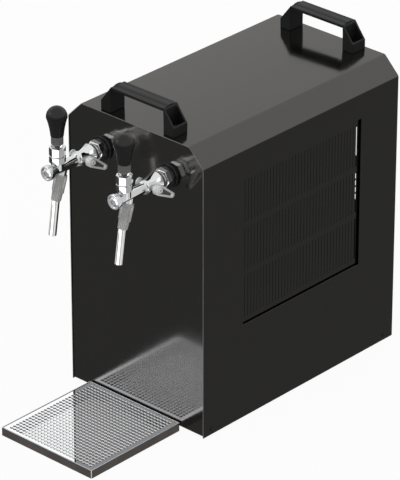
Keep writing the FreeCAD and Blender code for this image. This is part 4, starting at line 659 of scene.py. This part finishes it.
def cast_tap_body():
    """Compensator bulb and barrel, bored lever tower with its band, and spout socket, as one casting."""
    bulb = [(0, BULB_FORWARD), (SHANK_RADIUS, BULB_FORWARD), (11, BULB_FORWARD), (11, 21), (13.8, 21)]
    bulb += sweep((13.8, 21), (16.3, 27.6), -7.5, 5)
    bulb += sweep((16.3, 27.6), (12, 51), -66, 8)
    bulb += sweep((12, 51), (8.6, 58.5), 13.5, 5)
    bulb += [(8.6, 84), (8.6, CAP_FORWARD), (0, CAP_FORWARD)]
    barrel = at_tap(spun(bulb, 72), 0)
    bored = [(0, 0), (9.9, 0), (9.9, TOWER_NUT_RISE), (9.2, TOWER_NUT_RISE)]
    bored += [(9.2, 28.8), (7.6, 28.8), (7.6, 20.4), (0, 20.4)]
    tower = at_tower(spun(bored, 56), 0)
    band = at_tower(turned_nut(TOWER_FLATS, BAND_LENGTH, [(6, BAND_LENGTH), (6, 0)], 8, TOWER_TURN), BAND_RISE)
    socket = at_spout(spun([(0, 0), (8, 0), (8, 13.6), (7.6, 14), (0, 14)], 48), 0)
    casting = cut_with(cut_with(barrel, tower, "UNION"), socket, "UNION")
    return merged(casting, band)


def slotted_cap():
    """Plug with a rim round a domed button that has a screwdriver slot."""
    profile = [(0, 0), (10.5, 0)] + sweep((10.5, 0), (11.7, 1.2), 1.2, 3) + [(11.7, 7.6)]
    profile += sweep((11.7, 7.6), (10.5, 8.8), 1.2, 3) + [(9.6, 8.8), (9.3, 8.5), (9.3, 6.8)]
    profile += [(7.6, 6.8), (7.6, 7.2)] + sweep((7.6, 7.2), (0, 8.6), 21.3, 8)
    cutter = slab(-0.9, 0.9, -7.6, 7.6, 7.2, 9.2)
    return at_tap(cut_with(spun(profile, 72), cutter, "DIFFERENCE"), CAP_FORWARD)


def tower_nut():
    bore = [(9.4, TOWER_NUT_LENGTH), (6.4, 9), (9.35, 7.4), (9.35, 0)]
    return at_tower(turned_nut(TOWER_FLATS, TOWER_NUT_LENGTH, bore, 8, TOWER_TURN), TOWER_NUT_RISE)


def tap_lever():
    """Ball and rod, with the fluted ferrule that carries the knob."""
    rod = [(0, -BALL_RADIUS)] + sweep((0, -BALL_RADIUS), (ROD_RADIUS, ROD_START), BALL_RADIUS, 16)
    rod += [(ROD_RADIUS, 13.0), (0, 13.0)]
    ferrule = [(8.1, 12.6, 0), (9.2, 13.4, 0), (9.3, 13.8, 0.7)]
    ferrule += [(9.3, 24.4, 0.7), (9.3, 24.8, 0), (9.3, 25.6, 0)]
    return at_tower(merged(spun(rod, 56), fluted(ferrule, 24, closed=False)), LEVER_RISE)


def tapered_knob():
    """Knob with a domed top, in which a shallow ring is sunk."""
    profile = [(0, 0), (8.9, 0)] + sweep((8.9, 0), (10.1, 1.2), 1.2, 3)
    profile += sweep((10.1, 1.2), (16.0, 30.2), -120, 8)
    for radius, height in sweep((16.0, 30.2), (0, 48), 16.6, 28):
        profile.append((radius, height - 0.6 if 6.5 < radius < 8.5 else height))
    return at_tower(spun(profile, 64), KNOB_RISE)


def bent_spout():
    """Spout tube: straight out of the socket, slightly bent below its sleeve, with a rounded mouth."""
    def further(place, length):
        forward, fall, lean = place
        return forward + length * math.sin(lean), fall + length * math.cos(lean), lean

    root = (SPOUT_FORWARD, 0.0, SPOUT_LEAN)
    path = [further(root, 14.0), further(root, 53.0)]
    forward, fall, _ = path[-1]
    for step in range(1, 9):
        turned_to = SPOUT_LEAN + (MOUTH_LEAN - SPOUT_LEAN) * step / 8
        path.append((forward + SPOUT_BEND * (math.cos(turned_to) - math.cos(SPOUT_LEAN)),
                     fall + SPOUT_BEND * (math.sin(SPOUT_LEAN) - math.sin(turned_to)), turned_to))
    bent = path[-1]
    path += [further(bent, 20.0), further(bent, 48.5)]
    mouth = further(bent, 49.1)
    skin = [(place, SPOUT_RADIUS) for place in path] + [(mouth, 5.6), (mouth, 5.1)]
    skin += [(place, SPOUT_BORE) for place in reversed(path)]
    return lofted([((0, -forward, TAP_HEIGHT - fall), lean, radius, 0)
                   for (forward, fall, lean), radius in skin])


def clamp_sleeve():
    """Tapered, fluted sleeve nut with four wings."""
    outside = [(9.6, 0.5, 0), (9.6, 2.6, 0), (9.4, 3.2, 0.8), (8.3, 26, 0.8), (7.6, 39.6, 0.7), (7.2, 40.0, 0)]
    inside = [(6.9, 40.7, 0), (6.3, 40.7, 0), (6.3, 1.8, 0), (8.15, 1.8, 0), (8.15, 0, 0)]
    parts = [fluted(outside + inside, 18, closed=True)]
    for quarter in range(4):
        wing = slab(7.6, 12.1, -1.5, 1.5, 2, 28)
        tip = [vert for vert in wing.verts if vert.co.x > 10 and vert.co.z > 14]
        bmesh.ops.translate(wing, verts=tip, vec=(-0.8, 0, -1.2))
        soften(wing, wing.edges[:], 0.4, 2)
        parts.append(moved(wing, Matrix.Rotation(math.radians(90 * quarter), 4, "Z")))
    return at_spout(merged(*parts), SLEEVE_ALONG)


def flow_lever():
    """Compensator lever: hub, channelled arm and ball tip on the right of the bulb, and a boss on the left. Its
    near-white finish is a painted highlight, and the darker chrome in the arm's channel is painted shade.
    """
    hub, end, length = 8.1, 4.6, 31.0
    inside, thickness = 18.1, 7.4
    lean = math.asin((hub - end) / length)
    outline = round_end(0, hub, math.pi / 2 - lean, math.pi + 2 * lean, 24)
    outline += round_end(length, end, lean - math.pi / 2, math.pi - 2 * lean, 16)
    arm = prism([(px, py, inside) for px, py in outline], (0, 0, thickness))
    soften(arm, [edge for edge in arm.edges if span(edge, 2) < 0.1], 1.8, 5)
    channel = [face for face in faces_facing(arm, (0, 0, 1), 0.999) if face.calc_area() > 50]
    bmesh.ops.inset_region(arm, faces=channel, thickness=1.1)
    bmesh.ops.inset_region(arm, faces=channel, thickness=0.5, depth=-1.3)
    # The channel's faces take the darker chrome as painted shade.
    darker = 1
    for face in channel:
        face.material_index = darker
    shaft = spun([(0, -16.8), (4, -16.8), (4, 16.8), (8.2, 16.8), (8.2, 20.4), (7.4, 21.2), (0, 21.2)], 48)
    eye = spun([(2.0, 23.6), (4.4, 23.6), (4.4, 25.7), (3.3, 26.8), (2.6, 26.8), (2.0, 26.0)], 32, closed=True)
    tip = spun([(0, -end)] + sweep((0, -end), (0, 4.59), end, 16), 32)
    moved(tip, Matrix.Translation((length, 0, inside + thickness / 2)))
    boss = spun([(0, -20.3), (5.2, -20.3), (7.2, -18.6), (7.2, -16.8), (0, -16.8)], 40)
    lever = moved(merged(arm, shaft, eye, tip, boss), Matrix.Rotation(FLOW_DIP, 4, "Z"))
    return at_tap(lever, FLOW_FORWARD, turn=SIDEWAYS)


def fit_taps():
    """Two equal taps. The lever with its knob and the flow lever ride on bodies of their own."""
    for side, x in TAP_PLACES.items():
        lever, flow = f"lever_{side}", f"flow_{side}"
        pieces = (
            ("tap_collar", stepped_collar(), "knob_plastic", {}),
            ("coupling_nut", coupling_nut(), "chromed_brass", {"bevel": 0.25}),
            ("tap_body", cast_tap_body(), "chromed_brass", {"sharp": 24}),
            ("end_cap", slotted_cap(), "chromed_brass", {"sharp": 24}),
            ("tower_nut", tower_nut(), "chromed_brass", {"bevel": 0.25}),
            ("tap_lever", tap_lever(), "chromed_brass", {"body": lever, "finishes": (FLUTED_CHROME_AND_CHANNEL_SHADE,)}),
            ("tap_knob", tapered_knob(), "knob_plastic", {"body": lever}),
            ("spout", bent_spout(), "stainless_steel", {}),
            ("spout_sleeve", clamp_sleeve(), "chromed_brass", {"sharp": 40, "finishes": (SATIN_CHROME,)}),
            # The flow lever's near-white finish is a painted highlight, and the fluted chrome in its channel is
            # painted shade.
            ("flow_lever", flow_lever(), "chromed_brass",
             {"body": flow, "finishes": (LEVER_HIGHLIGHT, FLUTED_CHROME_AND_CHANNEL_SHADE)}),
        )
        for name, bm, slot, how in pieces:
            keep(moved(bm, Matrix.Translation((x, 0, 0))), f"{name}_{side}", slot, **how)


# ---------------------------------------------------------------- drip tray

def press_tray():
    """Shallow tray. Its rim, upright corners and rear wall are the palest, painted near-white as highlights, its
    other outer walls the darkest, painted darker as shade.
    """
    # Index 1 gives the outer walls a darker copy of the steel as painted shade. Index 2 gives the rim, upright
    # corners and rear wall a near-white copy as painted highlight.
    side, painted_highlight = 1, 2
    bm = slab(TRAY_LEFT, TRAY_RIGHT, TRAY_FRONT, TRAY_REAR, TRAY_BOTTOM, TRAY_TOP)
    roof = faces_facing(bm, (0, 0, 1))
    bmesh.ops.inset_region(bm, faces=roof, thickness=TRAY_RIM)
    sunk = grown_from(bm, roof)
    bmesh.ops.delete(bm, geom=roof, context="FACES_ONLY")
    bmesh.ops.translate(bm, verts=sunk, vec=(0, 0, TRAY_FLOOR - (TRAY_TOP - TRAY_BOTTOM)))
    bmesh.ops.recalc_face_normals(bm, faces=bm.faces)
    bm.normal_update()
    for face in bm.faces:
        middle = face.calc_center_median()
        inwards = min(middle.x - TRAY_LEFT, TRAY_RIGHT - middle.x, middle.y - TRAY_FRONT, TRAY_REAR - middle.y)
        if face.normal.z > 0.5 and middle.z > TRAY_TOP - 0.1:
            face.material_index = painted_highlight
        elif inwards < 0.1 and abs(face.normal.z) < 0.5:
            face.material_index = painted_highlight if face.normal.y > 0.9 else side
    corners = [edge for edge in bm.edges if span(edge, 2) > 10
               and min(vert.co.z for vert in edge.verts) < TRAY_BOTTOM + 0.1]
    soften(bm, corners, 1.0, 1, material=painted_highlight)
    keep(bm, "drip_tray", "stainless_steel", body="tray", bevel=0.5,
         finishes=(FINISHES["stainless_steel"], TRAY_SIDE_SHADE, RIM_HIGHLIGHT))


def punch_grate():
    """Grate: a sheet with rows of small holes, rounded in their corners and broken at their top edges."""
    left, right = TRAY_LEFT + GRATE_GAP, TRAY_RIGHT - GRATE_GAP
    front, rear = TRAY_FRONT + GRATE_GAP, TRAY_REAR - GRATE_GAP

    def at_a_hole(edge):
        x, y = edge.verts[0].co.xy
        return left + 1 < x < right - 1 and front + 1 < y < rear - 1

    bm, holes = marked_sheet(slot_marks(left, right, GRATE_PITCH, GRATE_HOLE, GRATE_COLUMNS),
                             slot_marks(front, rear, GRATE_PITCH, GRATE_HOLE, GRATE_ROWS))
    bmesh.ops.delete(bm, geom=holes, context="FACES_ONLY")
    bmesh.ops.recalc_face_normals(bm, faces=bm.faces)
    bmesh.ops.solidify(bm, geom=bm.faces[:], thickness=GRATE_WALL)
    bm.normal_update()
    soften(bm, [edge for edge in bm.edges if span(edge, 2) > 1 and at_a_hole(edge)], 1.2, 2)
    tidy_shell(bm)
    bmesh.ops.translate(bm, verts=bm.verts, vec=(0, 0, GRATE_TOP - max(vert.co.z for vert in bm.verts)))
    bm.normal_update()
    rims = [edge for edge in bm.edges if min(vert.co.z for vert in edge.verts) > GRATE_TOP - 0.01
            and len(edge.link_faces) == 2 and min(abs(face.normal.z) for face in edge.link_faces) < 0.5
            and at_a_hole(edge)]
    broken = 1
    soften(bm, rims, 0.7, 1, material=broken)
    keep(bm, "drip_grate", "stainless_steel", body="grate", finishes=(GRATE_STEEL, FINISHES["stainless_steel"]))


def stand_grate():
    """Four feet that carry the grate on the tray's floor."""
    inset = GRATE_GAP + FOOT_INSET
    floor = TRAY_BOTTOM + TRAY_FLOOR
    height = GRATE_TOP - GRATE_WALL - floor
    parts = []
    for x in (TRAY_LEFT + inset, TRAY_RIGHT - inset):
        for y in (TRAY_FRONT + inset, TRAY_REAR - inset):
            foot = spun([(0, 0), (2.0, 0), (2.4, 0.4), (2.4, height), (0, height)], 20)
            parts.append(moved(foot, Matrix.Translation((x, y, floor))))
    keep(merged(*parts), "grate_feet", "stainless_steel", body="grate")


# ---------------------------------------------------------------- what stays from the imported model

def dress_nodes():
    """Gives each node that still shows its own finish."""
    slots = {entry["node"]: entry["material_slot"] for entry in frame["record"]["subparts"]}
    for name, node in frame["nodes"].items():
        finish = FINISHES[slots[name]]
        if node.material_slots:
            for place in node.material_slots:
                place.material = finish
        else:
            node.data.materials.append(finish)


# ---------------------------------------------------------------- floor, light and camera

def blended(tree, share, first, second):
    """The first value where the share is 0 and the second where it is 1."""
    step = tree.nodes.new("ShaderNodeMix")
    for socket, value in ((0, share), (2, first), (3, second)):
        feed(tree, step.inputs[socket], value)
    return step.outputs[0]


def smooth(tree, source, start, end, low=0.0, high=1.0):
    ranged = spread(tree, source, low, high, start, end)
    ranged.node.interpolation_type = "SMOOTHSTEP"
    return ranged


def between(tree, source, low, high, soft):
    """1 from low to high and 0 outside, with soft edges."""
    up = smooth(tree, source, low - soft, low)
    down = smooth(tree, source, high, high + soft, 1.0, 0.0)
    return worked(tree, "MULTIPLY", up, down)


def seen_directly(tree, rays):
    """1 for rays from the camera or through something clear, and 0 for all others."""
    return worked(tree, "MAXIMUM", rays.outputs["Is Camera Ray"], rays.outputs["Is Transmission Ray"])


def lay_floor():
    """Floor that looks nearly white, with faint shadows, and that no reflection shows."""
    bm = bmesh.new()
    bmesh.ops.create_grid(bm, x_segments=1, y_segments=1, size=12)
    floor = object_of(bm, "floor")
    floor.visible_glossy = False
    finish, tree = new_finish("pale_floor")
    tree.nodes.clear()
    matt = tree.nodes.new("ShaderNodeBsdfDiffuse")
    matt.inputs["Color"].default_value = (0.86, 0.86, 0.86, 1)
    glow = tree.nodes.new("ShaderNodeEmission")
    mixer = tree.nodes.new("ShaderNodeMixShader")
    rays = tree.nodes.new("ShaderNodeLightPath")
    end = tree.nodes.new("ShaderNodeOutputMaterial")
    tree.links.new(worked(tree, "MULTIPLY", seen_directly(tree, rays), 0.95), mixer.inputs["Fac"])
    tree.links.new(matt.outputs["BSDF"], mixer.inputs[1])
    tree.links.new(glow.outputs["Emission"], mixer.inputs[2])
    tree.links.new(mixer.outputs["Shader"], end.inputs["Surface"])
    floor.data.materials.append(finish)


# What polished metal sees: (level, azimuth from and to, elevation from and to, softness), in degrees.
# Azimuth runs from the right of the object to its rear. Each card hangs in front of those before it.
STUDIO_CARDS = (
    (1.05, -200, 200, 50, 100, 8),
    (0.35, -12, 5, 8, 58, 4),
    (1.6, 7, 18, 28, 56, 4),
    (1.0, -172, -134, -22, 2, 6),
    (0.68, -56, -18, -30, 0, 6),
    (3.0, -132, -70, -24, 0, 5),
    (3.0, -102, -58, -38, -16, 5),
    (1.2, -10, 10, -30, -12, 3),
    (0.5, 12, 20, -30, -12, 3),
    (0.25, 60, 200, -100, -20, 6),
    (0.95, 30, 56, -52, -30, 5),
    (1.3, -178, -150, 36, 56, 6),
    (1.5, -142, -105, 4, 28, 6),
    (0.06, -178, -150, -40, -23, 3),
    (0.5, -150, -108, -40, -14, 4),
    (1.15, 118, 148, 18, 38, 6),
)


def hang_sky():
    """A sky that isn't one real light: each kind of ray meets its own. The camera sees white. Polished metal
    mirrors a studio of cards that suits the camera's view only. Satin and paint reflect a plain sky that is
    darker low down, and matt surfaces are lit by one level from all sides."""
    world = bpy.data.worlds.new("studio")
    bpy.context.scene.world = world
    world.use_nodes = True
    tree = world.node_tree
    place = tree.nodes.new("ShaderNodeTexCoord")
    parts = tree.nodes.new("ShaderNodeSeparateXYZ")
    tree.links.new(place.outputs["Generated"], parts.inputs["Vector"])
    turn = worked(tree, "ARCTAN2", parts.outputs["Y"], parts.outputs["X"])
    azimuth = worked(tree, "MULTIPLY", turn, math.degrees(1))
    elevation = worked(tree, "MULTIPLY", worked(tree, "ARCSINE", parts.outputs["Z"]), math.degrees(1))
    cards = smooth(tree, elevation, -42, -30, 0.2, 0.8)
    for level, left, right, low, high, soft in STUDIO_CARDS:
        mask = worked(tree, "MULTIPLY", between(tree, azimuth, left, right, soft),
                      between(tree, elevation, low, high, soft))
        cards = blended(tree, mask, cards, level)
    even = smooth(tree, elevation, -10, 12, 0.125, 0.61)
    rays = tree.nodes.new("ShaderNodeLightPath")
    mirrored = blended(tree, rays.outputs["Is Singular Ray"], even, cards)
    level = blended(tree, rays.outputs["Is Glossy Ray"], 0.7, mirrored)
    shown = blended(tree, seen_directly(tree, rays), level, 1.0)
    tree.links.new(shown, tree.nodes["Background"].inputs["Strength"])
    tree.nodes["Background"].inputs["Color"].default_value = (1, 1, 1, 1)


def hang_lamp(name, direction, distance, size, radiance, colour):
    """Square soft lamp seen from the object in that direction. Radiance is what a mirror would show."""
    lamp = bpy.data.lights.new(name, "AREA")
    lamp.shape = "SQUARE"
    lamp.size = size
    lamp.energy = radiance * math.pi * size * size
    lamp.color = colour
    hung = bpy.data.objects.new(name, lamp)
    direction = Vector(direction).normalized()
    hung.location = Vector((0, 0, CASE_HEIGHT / 2 * MM)) + direction * distance
    hung.rotation_euler = direction.to_track_quat("Z", "Y").to_euler()
    hung.visible_camera = False
    bpy.context.scene.collection.objects.link(hung)


def set_camera():
    lens = bpy.data.cameras.new("camera")
    lens.lens = FOCAL_LENGTH
    lens.sensor_width = 36
    lens.clip_end = 50
    camera = bpy.data.objects.new("camera", lens)
    bpy.context.scene.collection.objects.link(camera)
    level, fall = math.cos(CAMERA_ELEVATION), -math.sin(CAMERA_ELEVATION)
    aim = Vector((-math.sin(CAMERA_AZIMUTH) * level, math.cos(CAMERA_AZIMUTH) * level, fall))
    camera.location = CAMERA_PLACE
    camera.rotation_euler = aim.to_track_quat("-Z", "Y").to_euler()
    bpy.context.scene.camera = camera


fold_cover()
punch_grilles()
mould_handles()
fit_taps()
press_tray()
punch_grate()
stand_grate()
dress_nodes()
lay_floor()
hang_sky()
hang_lamp("front_left_softbox", (-0.601, -0.652, 0.462), 2.5, 0.6, 1.15, (0.94, 0.97, 1.06))
set_camera()
bpy.context.scene.view_settings.view_transform = "Standard"
